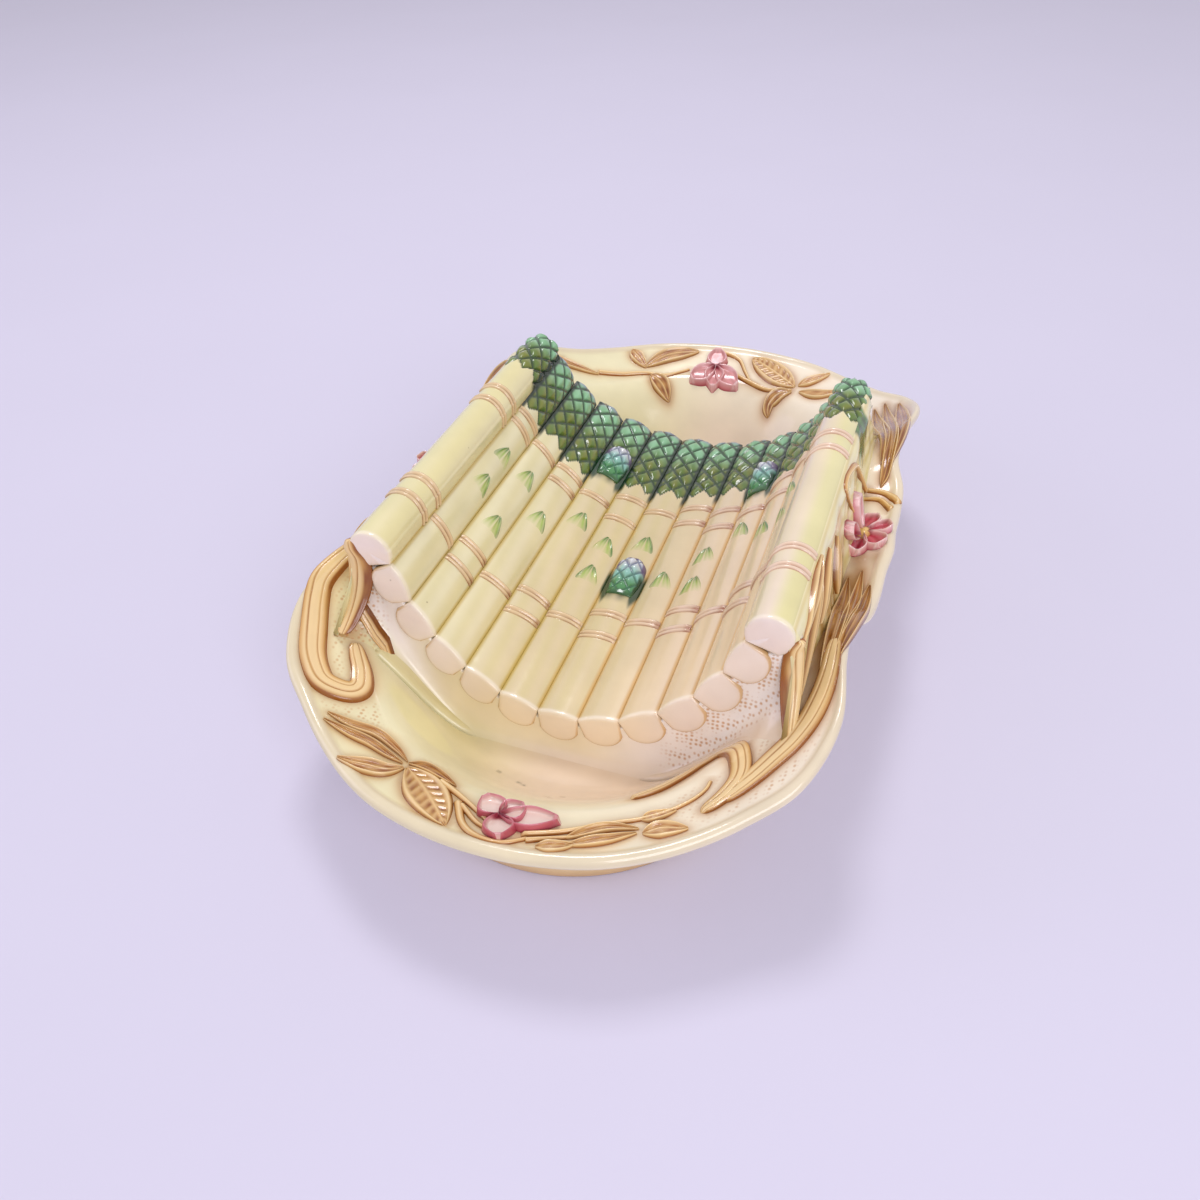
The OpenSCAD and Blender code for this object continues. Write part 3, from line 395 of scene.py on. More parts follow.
grid, zone, share, angle = dish_grid(780)
x, y, z = grid[..., 0], grid[..., 1], grid[..., 2]
flange = blend("#E6DEB2", "#F2E6CE", ease((x + 60) / 150 + y / 900))
floor_tone = blend("#DDD29C", "#E9D3B6", ease((x + 50) / 55))
well_top, well_floor = around(WELL_TOP, angle), around(WELL_FLOOR, angle)
depth = ease((well_top - share + 0.02) / (well_top - well_floor))
paint = blend(flange, floor_tone, depth)
top_side = zone == 0
pooled = wash(x, y)
paint = blend(paint, blend("#CE9A48", "#A86A20", pooled), 0.7 * pooled * top_side)
# Brown washes along the two sides, then a pale lip with a tan line under it.
backwash = ease((y - 55) / 25) * ease((150 - y) / 25) + ease((4 - y) / 12) * ease((100 + y) / 20)
backwash = backwash * ease((np.abs(x) - 88) / 6) * ease((0.97 - share) / 0.03)
mottle = 0.7 + 0.25 * np.sin(0.16 * y + 0.4 * x) * np.sin(0.11 * y - 0.3 * x)
paint = blend(paint, "#966620", 0.95 * backwash * top_side * mottle)
paint = blend(paint, "#DACBAA", 0.8 * (zone == 1) * ease((z - lip_z(angle) + 4.2) / 2.4))
paint = blend(paint, "#D8B98A", 0.7 * (zone == 1) * ease((lip_z(angle) - 3.2 - z) / 1.2))
outer = blend("#F2E8DA", "#D2AC7A", ease((14 - z) / 10))
paint = np.where((zone == 2)[..., None], outer, paint)
paint = np.where((zone == 3)[..., None], srgb("#D9C5A0"), paint)
# Dark kiln specks and a fold of lime glaze in the front well.
KILN_SPECKS = ((-18, -127), (-8, -130), (-5.5, -131), (11, -142), (12.5, -134), (9, -140))
for px, py in KILN_SPECKS:
    speck = np.exp(-((x - px) ** 2 + (y - py) ** 2) / 0.7)
    paint = blend(paint, "#4E4636", 0.85 * speck * top_side)
fold_x, fold_y = x + 50, y + 127
fold = np.hypot(fold_x * 0.87 + fold_y * -0.49, 3.2 * (fold_x * 0.49 + fold_y * 0.87)) / 22
paint = blend(paint, "#EBE2A4", 0.6 * ease((1 - fold) / 0.3) * top_side)
# Dots punched in the flange at the two front corners.
punched = ease((np.abs(x) - 50) / 14) * ease((-y - 60) / 14) * ease((155 + y) / 12)
outside = ease((share - well_top + 0.01) / 0.03) * ease((0.965 - share) / 0.02)
dots = punched * outside * top_side * (1 - np.clip(pooled * 2, 0, 1))
dish = surface("dish_visual", grid, paint, dots, ring=True)
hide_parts("dish")

# Foot ring. The same clay, turned down and wiped: a band under the dish with rounded edges,
# glazed tan at its outer side and bare buff on the flat that stands on the table.
a = np.linspace(0, 2 * np.pi, 360, endpoint=False)[:, None]
EDGE = 1.1
RING = [(0.0, FOOT_H), (0.0, EDGE), (0.3 * EDGE, 0.3 * EDGE), (EDGE, 0.0), (FOOT_RING - EDGE, 0.0),
        (FOOT_RING - 0.3 * EDGE, 0.3 * EDGE), (FOOT_RING, EDGE), (FOOT_RING, FOOT_H)]
ring_r = np.concatenate([foot_r(a, inset) for inset, _ in RING], 1)
ring_z = np.broadcast_to([height for _, height in RING], ring_r.shape)
grid = np.stack([ring_r * np.cos(a), ring_r * np.sin(a), ring_z], -1)
ring_tone = blend("#C8A06C", "#D8BE92", ease(ring_z / 5))
foot = surface("foot_ring_visual", grid, ring_tone, ring=True)
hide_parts("foot_ring")

# Cradle body. Slabs of the same clay under the spears: the curved bed, the two end walls that
# sweep out to the dish, and the two flanks. Blush glaze with punched dots under the butts.
BED_FRONT, BED_BACK, FRONT_BOW, BACK_BOW = 107.0, 93.7, 10.0, 17.0
BED_R, AXIS_H, AXIS_RISE, HALF_ANGLE = 74.0, 106.5, 5.2, 73.3
COUNT, MIDDLE = 13, 7
PITCH0 = HALF_ANGLE / (MIDDLE - 1.5)
PITCH_BACK = 0.953
CROWN, SPEAR_T, BUTT_T, BUTT_DROP = 2.25, 4.0, 2.5, 13.5
RIDGE_R, RIDGE_OUT, RIDGE_ANGLE = 9.0, 7.3, 4.7
SLIP, SKIRT_T = 0.3, 4.5
FLANK_X, FRONT_FLARE, BACK_FLARE = 93.0, 13.0, 9.0
FRONT_INSET, BACK_INSET = 1.0, 5.5
SKIN, FLANK_T, FLANK_SPREAD = SKIRT_T / 3, 2.2, 2.5
CREST, UNDER = 38, 105
BED_W = BED_R * np.sin(np.radians(HALF_ANGLE))
EDGE_X = BED_R * np.sin(np.radians(6 * PITCH0))


def axis_z(y):
    """Height of the bed's axis, which rises evenly towards the tips."""
    return AXIS_H + AXIS_RISE * (y + BED_FRONT) / (BED_FRONT + BED_BACK)


def pitch(y):
    """Angle between spears in degrees, a little less at the tips."""
    return PITCH0 * (1 + (PITCH_BACK - 1) * (y + BED_FRONT) / (BED_FRONT + BED_BACK))


def bow(x):
    """Share of the end bow at x: the square of x over the bed's half width, held beyond the
    ridges."""
    return (np.minimum(np.abs(x), EDGE_X) / BED_W) ** 2


def front_y(x):
    """Y of the butt ends at x."""
    return -BED_FRONT + FRONT_BOW * bow(x)


def back_y(x):
    """Y of the groove ends at x."""
    return BED_BACK - BACK_BOW * bow(x)


def bed_point(angle, r, y):
    """Point at an angle in degrees and a radius about the bed's axis, at 0 straight below."""
    angle, r, y = np.broadcast_arrays(np.radians(angle), r, y)
    return np.stack([r * np.sin(angle), y, axis_z(y) - r * np.cos(angle)], -1)


def ridge_centre(y):
    """Centre of the right ridge spear."""
    return bed_point(pitch(y) * (MIDDLE - 1.5) + RIDGE_ANGLE, BED_R + RIDGE_OUT, y)


def slab_end(y):
    """Angle where the slab meets the ridge spear."""
    taken = np.degrees(np.arcsin((RIDGE_R + SLIP) / BED_R))
    return pitch(y) * (MIDDLE - 1.5) + RIDGE_ANGLE - taken


CORNER, FILLET = 3.5, 7.0
NIP = 0.293 * CORNER  # how far in the middle of a rounded corner lies
WALL_ARC = 0.78


def corner(d):
    """How far a corner rounded by a quarter circle draws a face back, d from its edge."""
    return CORNER - np.sqrt(np.clip(CORNER ** 2 - np.clip(CORNER - d, 0, CORNER) ** 2, 0, None))


def wall_point(k, v, facing, flare, out):
    """Point on an end wall: k runs along its top edge from -1 to 1, under the bed and round
    under the ridge spears; v runs down it to the dish, where it sweeps out in a fillet. Its
    two ends follow the flanks' profile and are rounded to meet them."""
    k, v = np.broadcast_arrays(np.asarray(k, float), np.asarray(v, float))
    arc = np.clip(np.abs(k) / WALL_ARC, 0, 1)
    turn = np.clip((np.abs(k) - WALL_ARC) / (1 - WALL_ARC), 0, 1)
    x0 = np.where(turn > 0, BED_R, BED_R * np.sin(np.radians(slab_end(0.0)) * arc))
    y = front_y(x0) + FRONT_INSET if facing < 0 else back_y(x0) - BACK_INSET
    bed = bed_point(slab_end(y) * arc, BED_R + SPEAR_T, y)
    theta = np.radians(-UNDER + UNDER * turn)
    reach = RIDGE_R + SKIN * np.clip(turn * 6 - 5, 0, 1)
    way = np.stack([np.cos(theta), 0 * theta, np.sin(theta)], -1)
    edge = np.where(turn[..., None] > 0, ridge_centre(y) + reach[..., None] * way, bed)
    last = ridge_centre(y)[..., 0] + RIDGE_R + SKIN
    foot_x = edge[..., 0] * FLANK_X / last
    forward = facing * (FILLET + flare * (foot_x / FLANK_X) ** 2)
    mix = turn ** 2
    px = edge[..., 0] + (foot_x - edge[..., 0]) * v ** (0.8 + 0.7 * mix)
    py = edge[..., 1] + forward * v ** 3
    level = dish_z(edge[..., 0], edge[..., 1]) - SLIP
    inside = dish_z(px, py) - SLIP + (edge[..., 2] - level) * (1 - v) ** 1.7
    foot_z = dish_z(foot_x, edge[..., 1] + forward) - SLIP
    pz = inside + (edge[..., 2] + (foot_z - edge[..., 2]) * v - inside) * mix
    soft = ease(v / 0.15)
    px = px - NIP * turn ** 6 * soft
    py = py - facing * (corner(last + (FLANK_X - last) * v ** 1.5 - px) * soft - out)
    return np.stack([px * np.where(k < 0, -1, 1), py, pz], -1)


def end_wall(name, facing, flare):
    """End wall: a thick skin with a closed back. The front one is stippled at its ends and
    stained brown at its left corner."""
    k = np.linspace(-1, 1, 241)[:, None]
    v = np.linspace(0, 1, 40)[None]
    outer = wall_point(k, v, facing, flare, 0.0)
    loops = np.concatenate([outer, wall_point(k, v, facing, flare, -SKIRT_T)[:, ::-1]], 1)
    down = np.concatenate([v[0], v[0][::-1]])[None]
    x = loops[..., 0]
    tone = blend("#E6D6B2", "#F1E8E0", ease((x - 5) / 40) + ease((-x - 45) / 30))
    foot_tone = blend("#DDD29C", "#E9D3B6", ease((x + 50) / 55))
    paint = blend(tone, foot_tone, ease((down - 0.45) / 0.5))
    dots = ease((x - 40) / 10) * ease((0.8 - down) / 0.15) + ease((-x - 76) / 6)
    stain = ease((-x - 80) / 8) * ease((down - 0.3) / 0.3)
    paint = blend(paint, "#B87E3C", 0.6 * stain * (facing < 0))
    return surface(name, loops, paint, dots * (facing < 0))


front = end_wall("front_wall_visual", -1, FRONT_FLARE)
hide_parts("front_wall")
back = end_wall("back_wall_visual", 1, BACK_FLARE)
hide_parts("back_wall")


FLANK_ENDS = (front_y(BED_R) + FRONT_INSET, back_y(BED_R) - BACK_INSET)
RIDGE_SHARE = 0.2


def flank_point(y, v, out):
    """Point on the right flank: the first fifth of v rides down the ridge spear's outer side
    as a thickening skin, and the rest falls to the dish flange in a shallow hollow that
    spreads at both ends and is rounded into the end walls."""
    y, v = np.broadcast_arrays(np.asarray(y, float), np.asarray(v, float))
    centre = ridge_centre(y)
    k = np.clip(v / RIDGE_SHARE, 0, 1)
    turn = np.radians(CREST) * (1 - k)
    r = RIDGE_R - 0.1 + (SKIN + 0.1) * k + out
    ux, uz = centre[..., 0] + r * np.cos(turn), centre[..., 2] + r * np.sin(turn)
    w = np.clip((v - RIDGE_SHARE) / (1 - RIDGE_SHARE), 0, 1)
    to_front, to_back = y - FLANK_ENDS[0], FLANK_ENDS[1] - y
    lean = ((FILLET + BACK_FLARE) * (1 - ease(to_back / 35))
            - (FILLET + FRONT_FLARE) * (1 - ease(to_front / 40)))
    spread = ease((to_front - 20) / 20) * ease((to_back - 20) / 20)
    foot_x = FLANK_X + FLANK_SPREAD * spread
    foot_z = dish_z(foot_x, y + lean) - SLIP
    drawn = (corner(to_front) + corner(to_back)) * ease(w / 0.15)
    x = ux + (foot_x + out - ux) * w ** 1.5 - drawn
    return np.stack([x, y + lean * w ** 3, uz + (foot_z - uz) * w], -1)


def flank(name, side):
    """Flank: streaked yellow green under the crest, brown where leaves crowd it, and green
    that ran down from the last tip."""
    y = np.linspace(FLANK_ENDS[0] + NIP, FLANK_ENDS[1] - NIP, 260)[:, None]
    y = np.sort(np.concatenate([y, y[:1] + NIP * np.linspace(0.3, 3, 9)[:, None]]), 0)
    v = np.linspace(0, 1, 60)[None]
    seam = 0.35 * np.sin(0.23 * y + 9 * v) * ease(v / RIDGE_SHARE)
    ribs = 0.25 * np.sin(y * 0.55 + 14 * v) * ease((v - 0.25) / 0.2) * ease((1 - v) / 0.1)
    outer = flank_point(y, v, ribs + seam)
    loops = np.concatenate([outer, flank_point(y, v, -FLANK_T)[:, ::-1]], 1)
    down = np.concatenate([v[0], v[0][::-1]])[None] * np.ones_like(y)
    along = loops[..., 1]
    streak = 0.5 + 0.5 * np.sin(38 * down + 0.06 * along + 1.5 * np.sin(along * 0.05))
    tone = blend("#EEE6B6", "#E8E2A6", down)
    tone = blend(tone, "#CDBB62", 0.45 * streak * ease(down / 0.3))
    tone = blend(tone, "#F2E8C4", 0.35 * (1 - streak))
    mottle = 0.75 + 0.25 * np.sin(along * 0.7 + 11 * down)
    brown = ease((-2 - along) / 24) * ease((down - 0.3) / 0.4) * mottle
    tone = blend(tone, "#A87628", (0.45 + 0.4 * side) * brown)
    tone = blend(tone, "#C9AE55", 0.55 * np.exp(-((down - 0.05) / 0.035) ** 2))
    run_end = 0.55 if side > 0 else 0.3
    run_end = run_end + 0.1 * np.sin(0.5 * along) + 0.05 * np.sin(1.3 * along)
    off = np.abs(along - 46 + 9 * down) / (12 - 9 * down) + 0.1 * np.sin(23 * down)
    drip = ease((1.1 - off) / 0.35) * ease((run_end - down) / 0.16)
    shade = 0.5 + 0.35 * np.sin(0.9 * along + 6 * down) + 0.15 * np.sin(17 * down)
    tone = blend(tone, blend("#3E7B2E", "#1E4818", shade), 0.92 * drip)
    loops[..., 0] *= side
    return surface(name, loops, tone)


right = flank("right_flank_visual", 1)
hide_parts("right_flank")
left = flank("left_flank_visual", -1)
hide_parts("left_flank")
# The bed slab is the solid itself, without paint of its own, so its glaze has one colour.
slab_glaze = glazed_earthenware("buff glazed earthenware slab", 0.3, 0.0001)
for link in list(slab_glaze.node_tree.links):
    if link.from_node.type == "ATTRIBUTE" and link.from_node.attribute_name == "paint":
        link.to_socket.default_value = srgb("#DCC9A2").tolist()
        slab_glaze.node_tree.links.remove(link)
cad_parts["bed_slab"].data.materials.clear()
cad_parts["bed_slab"].data.materials.append(slab_glaze)

# Spears. Press-moulded asparagus with round cut butts and scaled tips, luted side by side.
# Lime glaze on the left fades to warm cream on the right; tips are brushed mint and dark green.
TIP_LEN, TIP_OVER = 34.0, 8.0
TIP_SIZE = np.array([1, 1, 1, 0.97, 0.86, 0.6])
TIP_FALL = np.array([0, 0, 0, 0.2, 0.5, 0.8]) * (CROWN + SPEAR_T / 2)
TIP_PLACE = np.array([0, 0.4, 0.68, 0.84, 0.95, 1])
GREEN_START = dict(enumerate([50, 38, 40, 38, 46, 47, 49, 51, 51, 46, 42, 40, 46], 1))
NOSE, BOW_RUN = 0.84, 30.0
TOP_COLUMNS, RIDGE_INNER = 41, (168, 240)
SCALE = (11.5, 9.4)
SHORT_TIPS = {"left_short_tip": (5, 0.735), "middle_short_tip": (7, 0.37),
              "right_short_tip": (10, 0.715)}
FACE_SIZE = np.array([0.03, 0.4, 0.75, 0.88, 0.94, 0.975, 0.993, 1.0])
FACE_Y = np.array([-0.2, -0.15, -0.02, 0.08, 0.25, 0.5, 0.85, 1.3])


def bed_y(share):
    """Place along the bed at a share of its length, from its front."""
    return -BED_FRONT + share * (BED_FRONT + BED_BACK)


def spear_place(i, y, u, h):
    """Point on spear i: u runs across it from -1 to 1 and h is height over the grooves."""
    return bed_point((i - MIDDLE + u * 0.5) * pitch(y), BED_R - h, y)


def crown(u):
    """Height of a spear over its grooves: the crown times one less the 2.2th power of u, so
    its rounded top steepens towards them."""
    return CROWN * (1 - np.abs(u) ** 2.2)


def spear_tone(x, along, u):
    """Brushed ground colour of a spear: lime at the left, cream at the right, ochre edges."""
    ground = blend("#E4DCB2", "#D8C69A", ease((x + 64) / 44))
    ground = blend(ground, "#E6CEA8", ease(x / 50))
    stripe = 0.5 + 0.5 * np.sin(3.1 * u + 0.045 * along + 0.4 * x)
    warm = blend("#CBBE74", "#EBD6BE", ease((x + 10) / 50))
    ground = blend(ground, warm, 0.3 * stripe)
    edge = blend("#BC9E3A", "#D0A050", ease((x + 30) / 50))
    return blend(ground, edge, 0.75 * ease((np.abs(u) - 0.8) / 0.16))


def lattice(along, across, start, size):
    """Scales of a tip: how green it is, how deep its grooves are and how far its scales
    swell. Two sets of slanted lines cross, so each scale is a lozenge, and the green starts
    on a zigzag of scales."""
    up, aside = (along - start) / size[0], across / size[1]
    p, q = up + aside, up - aside
    line = np.minimum(np.abs(p - np.round(p)), np.abs(q - np.round(q)))
    row = (np.floor(p) + np.floor(q) + 1) / 2 * size[0]
    green = ease((row + 4) / 4)
    return green, green * (1 - ease((line - 0.03) / 0.16)), green * ease(line / 0.5)


def tip_tone(ground, green, groove, up, u, seed):
    """Colour of a tip: olive scales low down, mint above, grey violet at the end, dark green
    in the grooves and along both sides."""
    face = blend("#747C26", "#8CC092", ease((up - 0.3) / 0.35))
    cloud = 0.5 + 0.5 * np.sin(seed * 2.3 + 9 * u + 13 * up)
    face = blend(face, "#4A742C", 0.6 * cloud * (1 - 0.6 * ease((up - 0.4) / 0.3)))
    face = blend(face, "#9490AE", 0.85 * ease((up - 0.82) / 0.12))
    tone = blend(ground, face, green)
    tone = blend(tone, "#12340A", 0.95 * groove)
    side = ease((np.abs(u) - 0.76) / 0.14) * ease((up + 0.26) / 0.14)
    return blend(tone, "#0A2408", 0.96 * side)


def tip_wash(i, y, u):
    """Green brushed on spear i in a point down each side of a short tip and across its root."""
    green = np.zeros(np.broadcast_shapes(y.shape, u.shape))
    for j, place in SHORT_TIPS.values():
        back, off = y - bed_y(place), np.abs(u - (j - i) * 2)
        point = ease((back + 9 - 24 * np.abs(off - 0.78)) / 6) * ease((18 - back) / 7)
        beside = ease((off - 0.52) / 0.14) * ease((1.16 - off) / 0.1) * point
        behind = ease((0.85 - off) / 0.2) * ease((back + 6) / 6) * ease((6 - back) / 4)
        behind = behind * 0.75 * (0.75 + 0.25 * np.sin(9 * u))
        green = np.maximum(green, np.maximum(beside, behind))
    return green


def cut_end_and_painted_highlight(tone, cut, run, top):
    """Colour of a spear with its cut end painted and a painted highlight, a pale line round the
    end's upper edge.
    """
    tone = blend(tone, cut, ease((1.2 - run) / 1.4))
    # Painted highlight: a pale line where the butt's upper edge catches the light.
    return blend(tone, "#F6EBD8", 0.6 * np.exp(-((run - 1.3) / 0.8) ** 2) * top)


def spear_rows(y0, y_end, joint):
    """Rows of a spear, from the middle of its butt face over the rounded edge, along it and
    over the round nose of its tip: each row's way from the butt, its share of the tip, its
    size and how far it falls. They lie closer together on the tip."""
    tip0 = y_end - TIP_LEN
    nose = np.sin(np.linspace(0, np.pi / 2, 101)[1:])
    stave = np.linspace(BUTT_T, tip0 - y0, 150)
    run = np.concatenate([FACE_Y, joint, stave, tip0 - y0 + TIP_LEN * nose])[:, None]
    t = np.clip((y0 + run - tip0) / TIP_LEN, 0, 1)
    size = np.interp(t, TIP_PLACE, TIP_SIZE)
    round_end = np.sqrt(np.clip(1 - ((t - NOSE) / (1 - NOSE)) ** 2, 0, 1))
    size = np.where(t > NOSE, 0.03 + size * round_end, size)
    size[:len(FACE_SIZE), 0] = FACE_SIZE
    return run, t, size, np.interp(t, TIP_PLACE, TIP_FALL) * (t > 0)


def bed_spear(i):
    """Spear of the bed: a crowned stave with a rounded plate at its butt, which follows the
    bow of the bed's front."""
    x0 = BED_R * np.sin(np.radians((i - MIDDLE) * PITCH0))
    y0, y_end = front_y(x0), back_y(x0) + TIP_OVER
    run, t, g, fall = spear_rows(y0, y_end, [1.8, BUTT_T - 0.02])
    butt = np.arange(len(run))[:, None] < len(FACE_Y) + 2
    u = np.concatenate([np.linspace(1, -1, TOP_COLUMNS), np.linspace(-1, 1, 15)[1:-1]])[None]
    top = np.arange(u.shape[1])[None] < TOP_COLUMNS
    yy = y0 + run + 0 * u
    plate = BUTT_DROP * (0.28 + 0.72 * np.sqrt(np.clip(1 - np.abs(u) ** 2.1, 0, 1)))
    half = np.radians(pitch(yy)) / 2 * BED_R
    green, groove, swell = lattice(yy, u * g * half, GREEN_START[i], SCALE)
    scales = (0.9 * swell - 0.7 * groove) * np.clip(1.15 - np.abs(u), 0, 1)
    middle = (CROWN - BUTT_DROP) / 2
    height = np.where(top, crown(u), -np.where(butt, plate, SPEAR_T))
    height = np.where(butt, middle + (height - middle) * g, height * g - fall)
    height = height + np.where(top, scales * ease((0.97 - t) / 0.1), 0)
    shift = front_y(BED_R * np.sin(np.radians((i - MIDDLE + u * g * 0.5) * PITCH0))) - y0
    rows = spear_place(i, yy + shift * ease((BOW_RUN - run) / BOW_RUN), u * g, height)
    up = (yy - GREEN_START[i]) / (y_end - GREEN_START[i])
    tone = tip_tone(spear_tone(rows[..., 0], yy, u), green, groove, up, u, i)
    tone = blend(tone, "#123A1A", 0.94 * tip_wash(i, yy, u))
    cut = blend("#EAD6B6", "#EBDACB", ease((np.abs(rows[..., 0]) - 25) / 30))
    tone = cut_end_and_painted_highlight(tone, cut, run, top)
    low_edge = butt * (1 - top) * ease((g - 0.86) / 0.08)
    tone = blend(tone, "#CFA468", 0.8 * low_edge)
    piece = surface(f"spear_{i:02d}_visual", rows, tone)
    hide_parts(f"spear_{i:02d}")


def ridge_surface(y, turn, out, size, fall):
    """Point round the right ridge spear: a rod whose inner side is filled out to a stave like
    its neighbours, moved out by out, scaled by size about its centre and lowered by fall."""
    y, turn = np.broadcast_arrays(y, turn)
    c = ridge_centre(y)
    x, z = c[..., 0] + RIDGE_R * np.cos(turn), c[..., 2] + RIDGE_R * np.sin(turn)
    least = pitch(y) * (MIDDLE - 1.5)
    angle = np.maximum(least, np.degrees(np.arctan2(x, axis_z(y) - z)))
    radius = np.hypot(x, axis_z(y) - z)
    start, stop = np.radians(RIDGE_INNER)
    inner = (turn > start) & (turn < stop)
    stave = BED_R - crown((angle - least) / pitch(y) * 2 - 1)
    full = bed_point(angle, np.where(inner, np.minimum(radius, stave), radius), y)
    away = full - c
    away = away * (size + out / np.linalg.norm(away, axis=-1))[..., None]
    return c + away - np.stack([0 * y, 0 * y, fall + 0 * y], -1)


def ridge_spear(i):
    """Ridge spear: a half-round rod with the same butt and tip."""
    side = 1 if i == COUNT else -1
    y0, y_end = front_y(EDGE_X), back_y(EDGE_X) + TIP_OVER
    run, t, g, fall = spear_rows(y0, y_end, [1.8])
    turn = np.radians(np.linspace(-90, 270, 91)[:-1])[None]
    yy = y0 + run + 0 * turn
    green, groove, swell = lattice(yy, (turn - np.pi / 2) * RIDGE_R * g, GREEN_START[i], SCALE)
    out = (0.8 * swell - 0.7 * groove - 0.35 * green) * ease((0.97 - t) / 0.1)
    rows = ridge_surface(yy, turn, out, g, fall)
    u = (turn - np.pi / 2) / (np.pi * 0.6)
    inner_side = ease(0.5 - 1.4 * np.cos(turn)) * (1.0 if side > 0 else 0.2)
    ground = blend("#DED69E", "#E8D6C0", inner_side)
    ground = blend(ground, "#DBD07E", 0.3 * (0.5 + 0.5 * np.sin(7 * u + 0.02 * yy)))
    ground = blend(ground, "#D2AF5E", 0.8 * ease((u - 1.02) / 0.1))
    up = (yy - GREEN_START[i]) / (y_end - GREEN_START[i])
    tone = tip_tone(ground, green, groove, up, np.clip(u, -0.85, 0.95), i)
    tone = cut_end_and_painted_highlight(tone, "#EBDAD0", run, np.sin(turn) > -0.2)
    rows[..., 0] *= side
    piece = surface(f"spear_{i:02d}_visual", rows, tone)
    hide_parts(f"spear_{i:02d}")


ridge_spear(1)
for i in range(2, COUNT):
    bed_spear(i)
ridge_spear(COUNT)

# Ties. Two thin cords moulded side by side over each spear, wiped pale on top with brown
# glaze left in the hollows, in a front and a back row.
TIE_W, TIE_H = 4.6, 1.0
FRONT_TIES = [[0.2, 0.26], [0.225], [0.2, 0.265], [0.24], [0.21, 0.275], [0.255], [0.235, 0.305],
              [0.29], [0.26, 0.325], [0.285], [0.255, 0.31], [0.28], [0.2, 0.26]]
BACK_TIES = [[0.59, 0.645], [0.63, 0.675], [0.655], [0.615, 0.668], [0.65], [0.615, 0.7], [0.68],
             [0.65, 0.71], [0.62, 0.685], [0.645], [0.64, 0.705], [0.68], [0.61, 0.67]]
TIE_ACROSS = np.array([-1.0, -0.95, -0.8, -0.55, -0.3, -0.15, 0.0,
                       0.15, 0.3, 0.55, 0.8, 0.95, 1.0, 0.7, -0.7])
TIE_RISE = np.array([-0.3, 0.1, 0.75, 1.0, 0.75, 0.25, 0.1,
                     0.25, 0.75, 1.0, 0.75, 0.1, -0.3, -0.8, -0.8])
TIE_SHADE = np.array([0.5, 0.9, 0.1, 0.0, 0.05, 0.5, 0.95,
                      0.5, 0.05, 0.0, 0.1, 0.9, 0.5, 0.5, 0.5])


def tie(name, i, share):
    """One pair of cords over spear i, as a closed band whose underside is in the spear."""
    y = bed_y(share)
    along = (y + TIE_ACROSS * TIE_W / 2)[None]
    if 1 < i < COUNT:
        u = np.linspace(0.97, -0.97, 41)[:, None]
        yy = along + (0.5 * np.sin(2.2 * i + 1.7 * y)) * u
        lower = 1 - 0.6 * ease((np.abs(u) - 0.8) / 0.17)
        rows = spear_place(i, yy, u, crown(u) + TIE_RISE[None] * TIE_H * lower)
    else:
        turn = np.radians(np.linspace(34, 208, 61))[:, None]
        yy = along + 0.8 * np.sin(turn + i)
        rows = ridge_surface(yy, turn, TIE_RISE[None] * TIE_H * 0.8, 1.0, 0)
        u = (turn - np.radians(121)) / np.radians(87)
        if i == 1:
            rows[..., 0] *= -1
    warm = ease((rows[..., 0] + 10) / 50)
    light = blend("#DDC294", "#E6CCB0", warm)
    dark = blend("#8A5220", "#A8694A", warm)
    shade = TIE_SHADE[None] * (0.75 + 0.25 * np.sin(4 * u + 3 * i + y))
    shade = shade + 0.6 * ease((u - 0.55) / 0.4) * (np.sin(5 * i) > -0.4)
    return surface(name, rows, blend(light, dark, 0.85 * shade))


for row, table in (("front_ties", FRONT_TIES), ("back_ties", BACK_TIES)):
    for i, shares in enumerate(table, 1):
        for k, place in enumerate(shares):
            piece = tie(f"{row}_{i:02d}_{k}", i, place)
            if i == 1 and k == 0:
                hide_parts(row)

# Bracts. Small pointed scales moulded on the spears; green was brushed over their two sides
# from the point and left to fade into the glaze below.
BRACT_LEN, BRACT_W, BRACT_H, SUNK = 16.0, 12.5, 0.8, 0.5
BRACTS = {"left_bracts": [(2, 0.36), (2, 0.47), (3, 0.31), (3, 0.49), (4, 0.42), (5, 0.5)],
          "middle_bracts": [(6, 0.46), (7, 0.5), (8, 0.38), (9, 0.46), (6, 0.355)],
          "right_bracts": [(9, 0.355), (10, 0.52), (11, 0.46), (12, 0.43), (12, 0.53)]}


def pad(name, top, low, tone):
    """Closed pad between an upper and an under side of the same grid, painted alike."""
    tone = np.broadcast_to(tone, top.shape)
    both = np.concatenate([top, low[:, ::-1]], 1)
    return surface(name, both, np.concatenate([tone, tone[:, ::-1]], 1))


